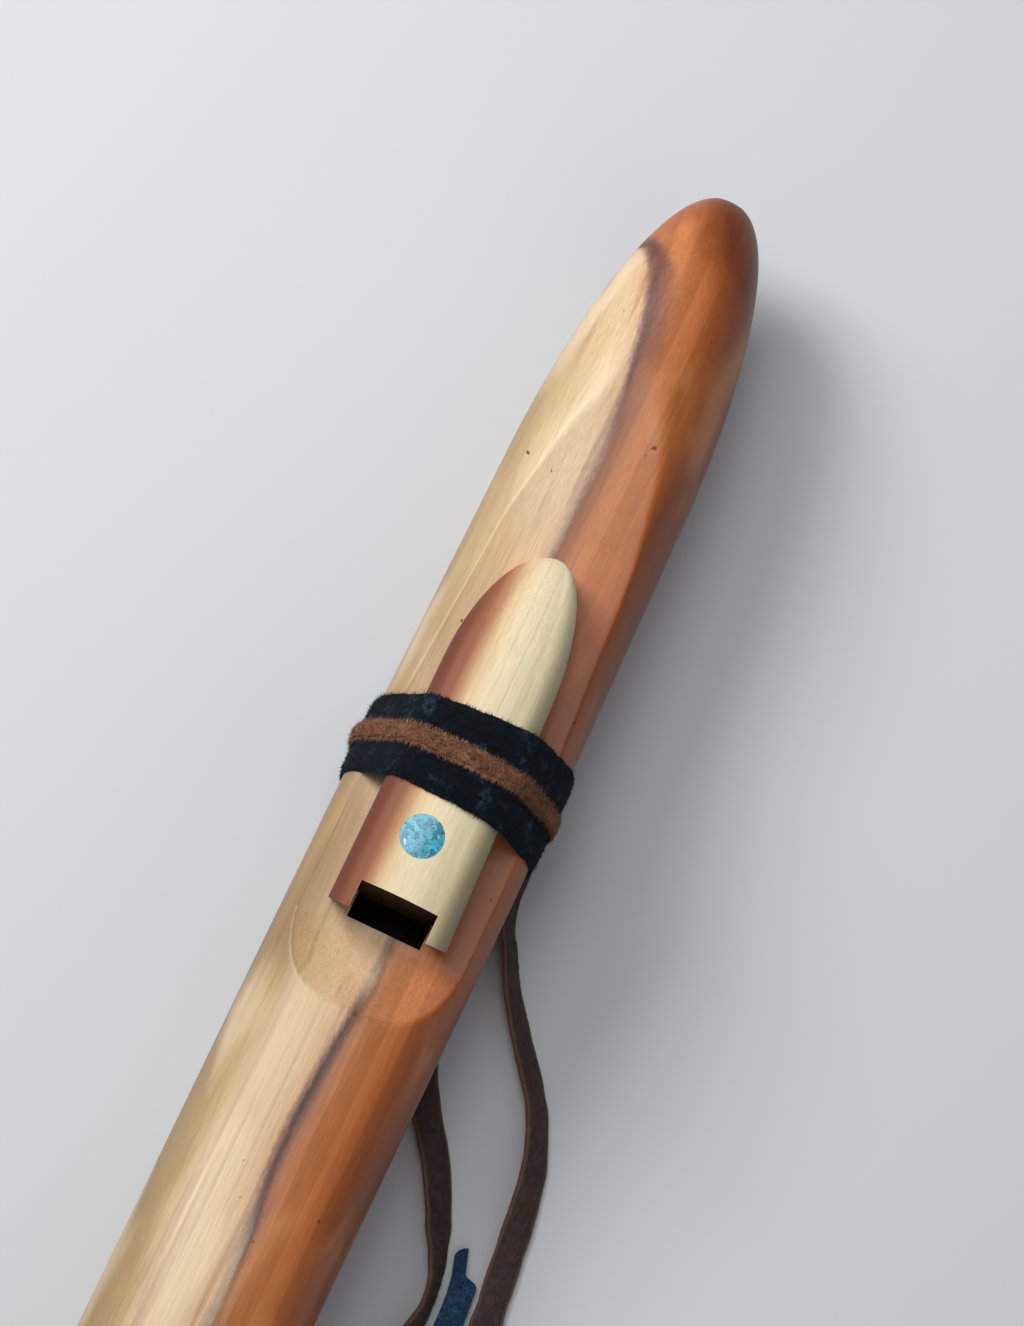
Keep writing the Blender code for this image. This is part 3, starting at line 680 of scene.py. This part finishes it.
def mouth_cutters():
    """Exit hole, flue and sound hole in the nest."""
    floor = AXIS + NEST
    high = floor + BLOCK_HEIGHT
    deep = AXIS + 0.3 * BORE
    exit_front = SOUND_HOLE - PLUG_TO_SOUND_HOLE - PLUG_LENGTH - 1 * MM
    exit_rear = exit_front - EXIT_HOLE_LENGTH
    hole = box((-EXIT_HOLE_WIDTH / 2, EXIT_HOLE_WIDTH / 2), (y_at(exit_front), y_at(exit_rear)), (deep, high))
    flue = box((-FLUE_WIDTH / 2, FLUE_WIDTH / 2), (y_at(SOUND_HOLE + GAP), y_at(exit_rear)),
               (floor - FLUE_DEPTH, high))
    w = SOUND_HOLE_WIDTH / 2
    front = SOUND_HOLE + SOUND_HOLE_LENGTH
    side = [(SOUND_HOLE, high), (front, high), (front, floor - 0.25 * MM), (front + 4 * MM, deep),
            (SOUND_HOLE, deep)]
    sound = loft([[(x, y_at(d), z) for d, z in side] for x in (-w, w)])
    return [cutter(hole), cutter(flue), cutter(sound)]


def finger_cutters():
    """Finger holes, each with its edge eased."""
    start = SOUND_HOLE + SOUND_HOLE_LENGTH
    sounding = LENGTH - DIRECTION_FROM_FOOT - start
    made = []
    for share, width in FINGER_HOLES:
        at = start + share * sounding
        top = AXIS + body_radius(at)
        r = width / 2 * MM
        stops = ((AXIS, r), (top - 1.3 * MM, r), (top - 0.6 * MM, r + 0.12 * MM),
                 (top - 0.1 * MM, r + 0.55 * MM), (top + 1 * MM, r + 1.9 * MM))
        made.append(cutter(rod_z(0, y_at(at), stops)))
    return made


def direction_cutter(side):
    """Direction hole through the upper (1) or the lower (-1) half."""
    at = LENGTH - DIRECTION_FROM_FOOT
    edge = body_radius(at)
    r = DIRECTION_HOLE / 2
    stops = [(AXIS, r), (AXIS + side * (edge - 0.6 * MM), r), (AXIS + side * edge, r + 0.5 * MM),
             (AXIS + side * (edge + 2 * MM), r + 2.4 * MM)]
    return cutter(rod_z(0, y_at(at), stops))


def block_height(from_front):
    """Height of the block at a distance from its front."""
    from_tip = BLOCK_LENGTH - from_front
    if from_front < BLOCK_FRONT_SLOPE:
        drop = (1 - from_front / BLOCK_FRONT_SLOPE) ** 1.6
        return BLOCK_HEIGHT - (BLOCK_HEIGHT - BLOCK_FRONT_HEIGHT) * drop
    rise = min(from_tip / (BLOCK_NOSE * NOSE_RISE), 1.0)
    return BLOCK_NOSE_HEIGHT + (BLOCK_HEIGHT - BLOCK_NOSE_HEIGHT) * (1 - (1 - rise) ** 2.2) ** 0.6


def block_half_width(from_front):
    """Half width of the block at a distance from its front."""
    from_tip = BLOCK_LENGTH - from_front
    if from_tip >= BLOCK_NOSE:
        return BLOCK_WIDTH / 2
    return BLOCK_WIDTH / 2 * (1 - (1 - from_tip / BLOCK_NOSE) ** 2.1) ** 0.5


def block_section(from_front, ease=0.0):
    """Half a section of the block, (x, height over its base), from the base's edge to the middle."""
    w = max(block_half_width(from_front) - ease, 0.02 * MM)
    h = block_height(from_front) - ease
    r = min(BLOCK_SHOULDER, 0.48 * w, 0.8 * h)
    flat = h - BLOCK_CROWN * (w / (BLOCK_WIDTH / 2))
    points = [(w - 0.25 * MM if w > 1 * MM else w * 0.8, 0.0), (w, min(0.25 * MM, h * 0.1))]
    for i in range(5):
        points.append((w, 0.25 * MM + (flat - r - 0.25 * MM) * (i + 1) / 6))
    for i in range(14):
        a = math.pi / 2 * i / 13
        points.append((w - r + r * math.cos(a), flat - r + r * math.sin(a)))
    for i in range(1, 9):
        t = i / 8
        points.append(((w - r) * (1 - t), flat + (h - flat) * (1 - (1 - t) ** 2)))
    return points


def block_body():
    """The block before its notch, inlay and undercut, slightly narrower on its right towards the nose."""
    front = [(0.0, 0.35 * MM), (0.1 * MM, 0.16 * MM), (0.35 * MM, 0.0)]
    slope = [BLOCK_FRONT_SLOPE * i / 14 for i in range(1, 15)]
    end = BLOCK_LENGTH - BLOCK_NOSE * NOSE_RISE
    straight = [BLOCK_FRONT_SLOPE + (end - BLOCK_FRONT_SLOPE) * i / 12 for i in range(1, 13)]
    nose = [BLOCK_LENGTH - BLOCK_NOSE * NOSE_RISE * (1 - i / 44) ** 1.8 for i in range(1, 45)]
    nose[-1] = BLOCK_LENGTH - BLOCK_NOSE * 0.001
    rings = []
    for from_front, ease in front + [(d, 0.0) for d in slope + straight + nose]:
        y = y_at(BLOCK_FRONT - from_front)
        half = [(x, y, AXIS + NEST + 0.02 * MM + z) for x, z in block_section(from_front, ease)]
        left = [(-x, py, z) for x, py, z in reversed(half[:-1])]
        w = max(block_half_width(from_front), 0.02 * MM)
        lean = BLOCK_TAPER * from_front / BLOCK_LENGTH * min(1.0, w / (BLOCK_WIDTH / 2))
        rings.append([(x - lean * (0.5 + 0.5 * x / w), py, z) for x, py, z in half + left])
    return loft(rings)


def hull(points):
    """Convex outline of (x, z) points, anticlockwise."""
    points = sorted(set(points))

    def chain(run):
        kept = []
        for p in run:
            while len(kept) > 1:
                a, b = kept[-2], kept[-1]
                if (b[0] - a[0]) * (p[1] - a[1]) - (b[1] - a[1]) * (p[0] - a[0]) > 0:
                    break
                kept.pop()
            kept.append(p)
        return kept

    low = chain(points)
    high = chain(reversed(points))
    return low[:-1] + high[:-1]


def taut_line(distance, away, count):
    """Points round body and block at even steps along a taut line, with their outward directions."""
    points = []
    for i in range(180):
        x, z = section_point(distance, 2 * math.pi * i / 180)
        points.append((round(x, 7), round(z, 7)))
    for x, z in block_section(STRAP_FROM_FRONT):
        points += [(round(x, 7), round(z + NEST, 7)), (round(-x, 7), round(z + NEST, 7))]
    grown = []
    for x, z in hull(points):
        for i in range(24):
            a = 2 * math.pi * i / 24
            grown.append((round(x + away * math.cos(a), 7), round(z + away * math.sin(a), 7)))
    line = [Vector(p) for p in hull(grown)]
    low = min(range(len(line)), key=lambda i: (line[i].y, abs(line[i].x)))
    line = line[low:] + line[:low]
    line.append(line[0])
    reach = [0.0]
    for a, b in zip(line, line[1:]):
        reach.append(reach[-1] + (b - a).length)
    made = []
    at = 0
    for i in range(count):
        want = reach[-1] * i / count
        while reach[at + 1] < want:
            at += 1
        share = (want - reach[at]) / (reach[at + 1] - reach[at])
        made.append(line[at].lerp(line[at + 1], share))
    ready = []
    for i in range(count):
        along = (made[(i + 2) % count] - made[i - 2]).normalized()
        ready.append((made[i], Vector((along.y, -along.x))))
    return ready


def band(name, middle, width_at, inner, outer, shift_at, rough, surface, slot, count=420, steps=18):
    """Leather band round body and block with soft, uneven edges."""
    rings = []
    line = taut_line(middle, inner, count)
    thick = outer - inner
    for i, (point, out) in enumerate(line):
        width = width_at(point)
        centre = middle + shift_at(point)
        wave = noise.noise(Vector((i * 0.11, 3.1, middle * 900))) * rough
        wave += noise.noise(Vector((i * 0.53, 8.2, middle * 900))) * rough * 0.6
        wave_b = noise.noise(Vector((i * 0.13, 6.7, middle * 700))) * rough
        wave_b += noise.noise(Vector((i * 0.49, 1.7, middle * 700))) * rough * 0.6
        ring = []
        for j in range(steps + 1):
            t = j / steps
            bulge = (1 - abs(2 * t - 1) ** 5) ** 0.5
            lift = noise.noise(Vector((point.x * 900, point.y * 900, t * width * 900 + 40))) * 0.05 * MM
            d = centre + (t - 0.5) * width + (wave if t < 0.5 else wave_b) * abs(2 * t - 1) ** 3
            h = thick * (0.35 + 0.65 * bulge) + lift * bulge
            flat = point + out * h
            ring.append((flat.x, y_at(d), max(AXIS + flat.y, 0.02 * MM)))
        for t in (1.0, 0.66, 0.33, 0.0):
            d = centre + (t - 0.5) * width * 0.995 + (wave if t < 0.5 else wave_b) * abs(2 * t - 1) ** 3
            ring.append((point.x, y_at(d), max(AXIS + point.y, 0.01 * MM)))
        rings.append(ring)
    return place_mesh(name, loft(rings, closed=True), [surface], FLUTE, slot, sharp=60)


def add_fibre(bm, root, tip, side, width):
    """One tapering fibre, bent once."""
    bend = root.lerp(tip, 0.55) + side.cross(tip - root) * 0.18
    a = bm.verts.new(root - side * width)
    b = bm.verts.new(root + side * width)
    c = bm.verts.new(bend + side * width * 0.7)
    d = bm.verts.new(bend - side * width * 0.7)
    e = bm.verts.new(tip)
    bm.faces.new((a, b, c, d))
    bm.faces.new((d, c, e))


def band_nap(name, middle, width, height, length, edge_share, surface, slot, seed, hang=0.0):
    """Loose fibres that stand off a band's face and edges."""
    rng = random.Random(seed)
    line = taut_line(middle, height, 600)
    bm = bmesh.new()
    for _ in range(NAP_COUNT):
        point, out = line[rng.randrange(600)]
        if AXIS + point.y < 4 * MM:
            continue
        t = rng.random()
        if rng.random() < edge_share:
            t = rng.choice((0.02, 0.05, 0.95, 0.98))
        d = middle + (t - 0.5) * width(point)
        face = Vector((out.x, 0, out.y))
        along = Vector((-out.y, 0, out.x))
        at_edge = abs(t - 0.5) > 0.44
        root = Vector((point.x, y_at(d), AXIS + point.y)) - face * (0.45 if at_edge else 0.25) * MM
        pull = Vector((0, -(t - 0.5) * rng.uniform(0.4, 1.6), 0))
        lift = rng.uniform(0.0, 0.25) if at_edge else rng.uniform(0.05, 0.7)
        aim = face * lift + along * rng.uniform(-0.9, 0.9) + pull * (2.2 if at_edge else 0.8)
        aim += Vector((0, -1, 0)) * hang * max(0.0, point.x / RADIUS)
        reach = length * rng.uniform(0.35, 1.0) ** 1.5
        tip = root + aim.normalized() * reach
        tip.z = max(tip.z, 0.1 * MM)
        side = aim.cross(face).normalized() if aim.cross(face).length > 1e-9 else along
        add_fibre(bm, root, tip, side, FIBRE_WIDTH * rng.uniform(0.6, 1.2))
    return place_mesh(name, bm, [surface], FLUTE, slot, sharp=0)


def smooth_route(points, steps):
    """Even curve through points (Catmull-Rom)."""
    padded = [2 * points[0] - points[1]] + points + [2 * points[-1] - points[-2]]
    made = []
    for a, b, c, d in zip(padded, padded[1:], padded[2:], padded[3:]):
        for i in range(steps):
            t = i / steps
            made.append(0.5 * (2 * b + (c - a) * t + (2 * a - 5 * b + 4 * c - d) * t * t
                               + (3 * b - a - 3 * c + d) * t ** 3))
    made.append(points[-1])
    return made


def tail(name, knot, route, width, surface, slot, node, pointed=False, crease=0.22, seed=1):
    """Limp leather strip on the floor: curled a little across, creased, with cut edges."""
    steps = 14
    start = Vector((knot * KNOT_X, y_at(BLOCK_FRONT - STRAP_FROM_FRONT), 0))
    spots = [Vector((start.x + x * MM, start.y + y * MM, turn)) for x, y, turn in route]
    points = smooth_route(spots, steps)
    thick = TAIL_THICKNESS
    bm = bmesh.new()
    edge = bm.verts.layers.float.new("edge")
    rows = []
    path = []
    total = len(points) - 1
    for i, point in enumerate(points):
        ahead = points[min(i + 1, total)] - points[max(i - 1, 0)]
        across = Vector((ahead.y, -ahead.x, 0)).normalized()
        turn = math.radians(point.z)
        half = width / 2 * (0.95 + 0.12 * noise.noise(Vector((i * 0.09, seed, 0))))
        right = 1.0
        if pointed:
            left = (total - i) / steps * TIP_STEP
            right = 1.0 - 1.05 * (1 - smooth((left - TIP_FINGER) / (1.6 * MM)))
            half *= 0.35 + 0.65 * math.sqrt(min(1.0, left / (1.4 * MM)))
        wide = across * math.cos(turn) + Vector((0, 0, math.sin(turn)))
        face = Vector((0, 0, math.cos(turn))) - across * math.sin(turn)
        height = abs(wide.z) * half + abs(face.z) * thick / 2 + 0.1 * MM
        centre = Vector((point.x, point.y, height))
        path.append(centre)
        row = []
        count = 12
        for layer in (1, -1):
            for j in range(count + 1):
                t = (j / count * (1 + right) - 1) if layer > 0 else right - j / count * (1 + right)
                wrinkle = noise.noise(Vector((t * 1.3 + seed * 7, i * 0.30, seed))) * crease * MM
                wrinkle += noise.noise(Vector((t * 2.6, i * 0.85 + t * 1.2, seed + 5))) * crease * 0.5 * MM
                curl = (1 - t * t) * 0.25 * MM
                body = (1 - abs(t) ** 6 * 0.45) * thick / 2
                spot = centre + wide * half * t + face * (layer * body + (wrinkle + curl) * (1 - abs(t) ** 4))
                spot.z = max(spot.z, 0.05 * MM)
                vert = bm.verts.new(spot)
                vert[edge] = 1.0 if layer < 0 else abs(t)
                row.append(vert)
        rows.append(row)
    piece = place_mesh(name, skin(bm, rows), [surface], FLUTE, slot, sharp=60)
    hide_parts(node)
    length = sum((b - a).length for a, b in zip(path, path[1:]))
    tuple(path[0])
    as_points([tuple(p) for p in path[::5]] + [tuple(path[-1])])
    return piece


def trefoil(t):
    """Point on the knot's three-lobed loop."""
    return ((math.sin(t) + 2 * math.sin(2 * t)) * 0.62 * MM,
            (math.cos(t) - 2 * math.cos(2 * t)) * 0.98 * MM, -math.sin(3 * t) * 1.0 * MM)


def knot(name, side, surface, slot, node, seed):
    """Overhand knot pulled tight: a flat strip wound into a three-lobed loop."""
    centre = Vector((side * KNOT_X, y_at(BLOCK_FRONT - STRAP_FROM_FRONT), KNOT_Z))
    rings = []
    count = 150
    for i in range(count):
        t = 2 * math.pi * i / count
        place = centre + Vector(trefoil(t))
        ahead = Vector([b - a for a, b in zip(trefoil(t), trefoil(t + 0.01))]).normalized()
        out = (place - centre)
        out = (out - ahead * out.dot(ahead)).normalized()
        flat = ahead.cross(out)
        ring = []
        for j in range(14):
            a = 2 * math.pi * j / 14
            swell = 1 + 0.12 * noise.noise(Vector((t * 3, a * 1.2, seed)))
            spot = place + flat * math.cos(a) * 1.35 * MM * swell + out * math.sin(a) * 0.85 * MM * swell
            spot.z = max(spot.z, 0.05 * MM)
            ring.append(spot)
        rings.append(ring)
    piece = place_mesh(name, loft(rings, closed=True), [surface], FLUTE, slot, sharp=60)
    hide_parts(node)
    return piece


def strap_width(point):
    """The strap is cut by hand: 15 mm wide at its left and 19 mm at its right."""
    return 17.3 * MM + 1.9 * MM * point.x / RADIUS


def strap_shift(point):
    """The strap leans a little towards the mouth on its right."""
    return -0.2 * MM * point.x / RADIUS


def lace_width(point):
    """The lace is 3 mm wide all round."""
    return 3.0 * MM


def no_shift(point):
    """The lace runs straight round."""
    return 0.0


class FluteStage(bpy.types.PropertyGroup):
    """Camera values."""

    distance: bpy.props.FloatProperty(name="Camera distance", description="From the lens to the nest",
                                      default=1.0, subtype='DISTANCE', unit='LENGTH')
    focal: bpy.props.FloatProperty(name="Focal length", description="For a 36 mm long side", default=148.2)
    tilt: bpy.props.FloatProperty(name="Tilt", description="Off square, from the foot's side", default=12.4)
    lean: bpy.props.FloatProperty(name="Lean", description="Of the flute to the right of upright",
                                  default=25.5)
    aim: bpy.props.FloatProperty(name="Aim", description="Place along the flute in the middle of the view",
                                 default=0.1726, subtype='DISTANCE', unit='LENGTH')


class FluteLooks(bpy.types.PropertyGroup):
    """Sizes that a user would change."""

    nap: bpy.props.FloatProperty(name="Nap length", description="Longest fibre on the lace", default=1.5 * MM,
                                 subtype='DISTANCE', unit='LENGTH')
    crease: bpy.props.FloatProperty(name="Creases", description="Depth of the tails' creases in mm",
                                    default=0.38)


def aim_at(thing, place, target):
    """Turn a light at a place to a target."""
    thing.location = place
    thing.rotation_euler = (Vector(target) - Vector(place)).to_track_quat('-Z', 'Y').to_euler()


# Soft lights: name, place, target, power in watts and size in metres
LIGHTS = (
    ("key_light", (-0.72, 0.42, 0.70), (0, 0.12, 0.02), 9.5, 0.45),
    ("fill_light", (0.75, -0.35, 0.85), (0, 0.08, 0.02), 1.0, 0.9),
    ("top_light", (-0.25, 0.30, 1.05), (0, 0.15, 0.02), 3.2, 0.5),
)
WORLD_STRENGTH = 0.30
FLOOR_DROP = 0.2 * MM


class FLUTE_OT_stage(bpy.types.Operator):
    """Set up floor, soft lights, world and camera"""

    bl_idname = "flute.stage"
    bl_label = "Stage"

    def execute(self, context):
        values = context.scene.flute_stage
        scene = context.scene
        scene.view_settings.view_transform = 'Standard'
        floor = bpy.data.objects.new("floor", bpy.data.meshes.new("floor"))
        bm = bmesh.new()
        bmesh.ops.create_grid(bm, x_segments=1, y_segments=1, size=4.0)
        bm.to_mesh(floor.data)
        bm.free()
        floor.data.materials.append(paper_floor())
        floor.location.z = -FLOOR_DROP
        scene.collection.objects.link(floor)

        camera = bpy.data.objects.new("camera", bpy.data.cameras.new("camera"))
        scene.collection.objects.link(camera)
        camera.data.lens = values.focal
        camera.data.sensor_width = 36
        tilt = math.radians(values.tilt)
        lean = math.radians(values.lean)
        back = Vector((0, -math.sin(tilt), math.cos(tilt)))
        side0 = Vector((1, 0, 0))
        up0 = back.cross(side0)
        up = up0 * math.cos(lean) - side0 * math.sin(lean)
        side = up.cross(back)
        place = Vector((0, values.aim, AXIS)) + back * values.distance
        turn = camera.matrix_world.to_3x3()
        turn.col[0], turn.col[1], turn.col[2] = side, up, back
        camera.matrix_world = turn.to_4x4()
        camera.location = place
        camera.data.clip_start = 0.01
        scene.camera = camera

        for name, place, target, power, size in LIGHTS:
            lamp = bpy.data.objects.new(name, bpy.data.lights.new(name, 'AREA'))
            lamp.data.energy = power
            lamp.data.size = size
            aim_at(lamp, place, target)
            scene.collection.objects.link(lamp)
        world = bpy.data.worlds.new("soft_room")
        world.use_nodes = True
        sky = world.node_tree.nodes["Background"]
        sky.inputs[0].default_value = colour('#E9ECF0')
        sky.inputs[1].default_value = WORLD_STRENGTH
        scene.world = world
        return {'FINISHED'}


class FLUTE_OT_tails(bpy.types.Operator):
    """Lay the loose ends of strap and lace on the floor"""

    bl_idname = "flute.tails"
    bl_label = "Tails"

    def execute(self, context):
        crease = context.scene.flute_looks.crease
        hide = creased_lace_leather()
        blue = brushed_suede("faded_blue_suede", '#1E3450', '#35577A', '#55789A', 0.25)
        tail("right_lace_end", 1, LACE_TAIL_RIGHT, 6.0 * MM, hide, "brown_leather", "lace_tail_right",
             crease=crease, seed=1)
        tail("left_lace_end", 1, LACE_TAIL_LEFT, 6.0 * MM, hide, "brown_leather", "lace_tail_left",
             crease=crease, seed=2)
        tail("long_strap_end", -1, STRAP_TAIL_LONG, 5.2 * MM, blue, "blue_suede", "strap_tail_long",
             pointed=True, crease=0.08, seed=3)
        tail("short_strap_end", -1, STRAP_TAIL_SHORT, 5.0 * MM, blue, "blue_suede", "strap_tail_short",
             pointed=True, crease=0.08, seed=4)
        return {'FINISHED'}


class FLUTE_OT_body(bpy.types.Operator):
    """Carve the two halves of the body and colour their plug"""

    bl_idname = "flute.body"
    bl_label = "Body"

    def execute(self, context):
        wood = oiled_two_tone_wood()
        dark = dark_bore_wood()
        upper = place_mesh("upper_body", loft(list(half_rings(1))), [wood, dark], FLUTE, "body_wood")
        mark_nest(upper)
        # The cut faces of the bores, exit hole, flue and sound hole take the dark bore wood: painted shade
        carve(upper, bore_cutters(), dark)
        carve(upper, mouth_cutters(), dark)
        carve(upper, finger_cutters() + [direction_cutter(1)], wood)
        lower = place_mesh("lower_body", loft(list(half_rings(-1))), [wood, dark], FLUTE, "body_wood")
        # The lower half's bore takes the same painted shade
        carve(lower, bore_cutters(), dark)
        carve(lower, [direction_cutter(-1)], wood)
        for piece, node in ((upper, "upper_half"), (lower, "lower_half")):
            piece.data.set_sharp_from_angle(angle=math.radians(SHARP_EDGE))
            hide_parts(node)
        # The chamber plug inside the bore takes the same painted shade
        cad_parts["chamber_plug"].data.materials.clear()
        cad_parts["chamber_plug"].data.materials.append(dark)
        return {'FINISHED'}


class FLUTE_OT_block(bpy.types.Operator):
    """Shape the block and set its inlay"""

    bl_idname = "flute.block"
    bl_label = "Block"

    def execute(self, context):
        cedar = sanded_cedar()
        block = place_mesh("cedar_block", block_body(), [cedar], BLOCK, "block_wood")
        base = AXIS + NEST
        notch = box((-NOTCH_WIDTH / 2, NOTCH_WIDTH / 2),
                    (y_at(BLOCK_FRONT + NOTCH_DEPTH), y_at(BLOCK_FRONT - NOTCH_DEPTH)),
                    (base - BLOCK_HEIGHT, base + 3 * BLOCK_HEIGHT))
        at = y_at(BLOCK_FRONT - INLAY_FROM_FRONT)
        top = base + block_height(INLAY_FROM_FRONT)
        r = INLAY / 2
        pocket = rod_z(-INLAY_OFF_CENTRE, at, (
            (top - INLAY_DEPTH, r + INLAY_FIT), (top + BLOCK_HEIGHT, r + INLAY_FIT)), sides=96)
        front = BLOCK_FRONT + 0.01 * MM
        high = base + BLOCK_FRONT_HEIGHT
        slant = [(front, high), (front + 9 * MM, high), (front + 9 * MM, base - 1 * MM),
                 (front - math.tan(BLOCK_UNDERCUT) * (BLOCK_FRONT_HEIGHT + 1 * MM), base - 1 * MM)]
        undercut = loft([[(x, y_at(d), z) for d, z in slant] for x in (-BLOCK_WIDTH, BLOCK_WIDTH)])
        carve(block, [cutter(undercut), cutter(pocket)], cedar)
        # The notch's walls take painted shade
        carve(block, [cutter(notch)], burned_notch_wood())
        block.data.set_sharp_from_angle(angle=math.radians(SHARP_EDGE))
        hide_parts("block")
        inlay = place_mesh("turquoise_disc", rod_z(-INLAY_OFF_CENTRE, at, (
            (top - INLAY_DEPTH, r), (top + BLOCK_HEIGHT, r)), sides=96),
            [crushed_turquoise()], BLOCK, "turquoise")
        outline = cutter(block_body())
        change = inlay.modifiers.new("flush", 'BOOLEAN')
        change.operation = 'INTERSECT'
        change.object = outline
        mesh = baked(inlay)
        bpy.data.objects.remove(outline)
        mesh.shade_smooth()
        mesh.set_sharp_from_angle(angle=math.radians(SHARP_EDGE))
        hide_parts("turquoise_inlay")
        return {'FINISHED'}


class FLUTE_OT_ties(bpy.types.Operator):
    """Wrap strap and lace round body and block, with their nap and knots"""

    bl_idname = "flute.ties"
    bl_label = "Ties"

    def execute(self, context):
        looks = context.scene.flute_looks
        navy = brushed_suede("navy_suede", '#020305', '#0C131B', '#3C5468', 0.15)
        brown = brushed_suede("brown_suede", '#5A3422', '#93614A', '#B48668', 0.35)
        middle = BLOCK_FRONT - STRAP_FROM_FRONT
        top = 2 * GAP + STRAP_THICKNESS
        strap = band("navy_strap", middle, strap_width, 0.05 * MM, top - 0.70 * MM, strap_shift, 0.22 * MM,
                     navy, "navy_suede")
        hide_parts("strap_wrap")
        # The strap's fibres take a lighter copy of the navy suede: painted sheen on the nap
        nap = brushed_suede("navy_nap_painted_sheen", '#060B11', '#172534', '#4A6478', 0.2)
        band_nap("strap_fibres", middle, strap_width, top - 0.72 * MM, 1.0 * MM, 0.12, nap, "navy_suede", 11)
        lace = band("brown_lace", middle, lace_width, top - 0.85 * MM, top + 0.10 * MM, no_shift, 0.35 * MM,
                    brown, "brown_suede", steps=10)
        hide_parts("lace_wrap")
        # The lace's fibres take a lighter copy of the brown suede: painted sheen on the nap
        light = brushed_suede("brown_nap_painted_sheen", '#6E4430', '#A87A5C', '#C49C7C', 0.35)
        band_nap("lace_fibres", middle, lace_width, top - 0.05 * MM, looks.nap, 0.30, light, "brown_suede",
                 12, hang=0.9)
        knot("lace_knot_tied", 1, brown, "brown_suede", "lace_knot", 1)
        knot("strap_knot_tied", -1, navy, "navy_suede", "strap_knot", 2)
        return {'FINISHED'}


class FLUTE_PT_panel(bpy.types.Panel):
    """Lists the flute's parts"""

    bl_label = "Flute"
    bl_idname = "FLUTE_PT_panel"
    bl_space_type = 'VIEW_3D'
    bl_region_type = 'UI'
    bl_category = "Flute"

    def draw(self, context):
        for operator in OPERATORS:
            self.layout.operator(operator.bl_idname)
        for name in ("distance", "focal", "tilt", "lean", "aim"):
            self.layout.prop(context.scene.flute_stage, name)
        for name in ("nap", "crease"):
            self.layout.prop(context.scene.flute_looks, name)


OPERATORS = (FLUTE_OT_stage, FLUTE_OT_tails, FLUTE_OT_body, FLUTE_OT_block, FLUTE_OT_ties)
CLASSES = (FluteStage, FluteLooks) + OPERATORS + (FLUTE_PT_panel,)


def register():
    """Add the classes and their values to Blender."""
    for cls in CLASSES:
        bpy.utils.register_class(cls)
    bpy.types.Scene.flute_stage = bpy.props.PointerProperty(type=FluteStage)
    bpy.types.Scene.flute_looks = bpy.props.PointerProperty(type=FluteLooks)


def unregister():
    """Take them out again."""
    del bpy.types.Scene.flute_stage
    del bpy.types.Scene.flute_looks
    for cls in reversed(CLASSES):
        bpy.utils.unregister_class(cls)


def main():
    """Build the scene."""
    register()
    bpy.ops.flute.stage()
    bpy.ops.flute.tails()
    bpy.ops.flute.body()
    bpy.ops.flute.block()
    bpy.ops.flute.ties()


if __name__ == "__main__":
    main()
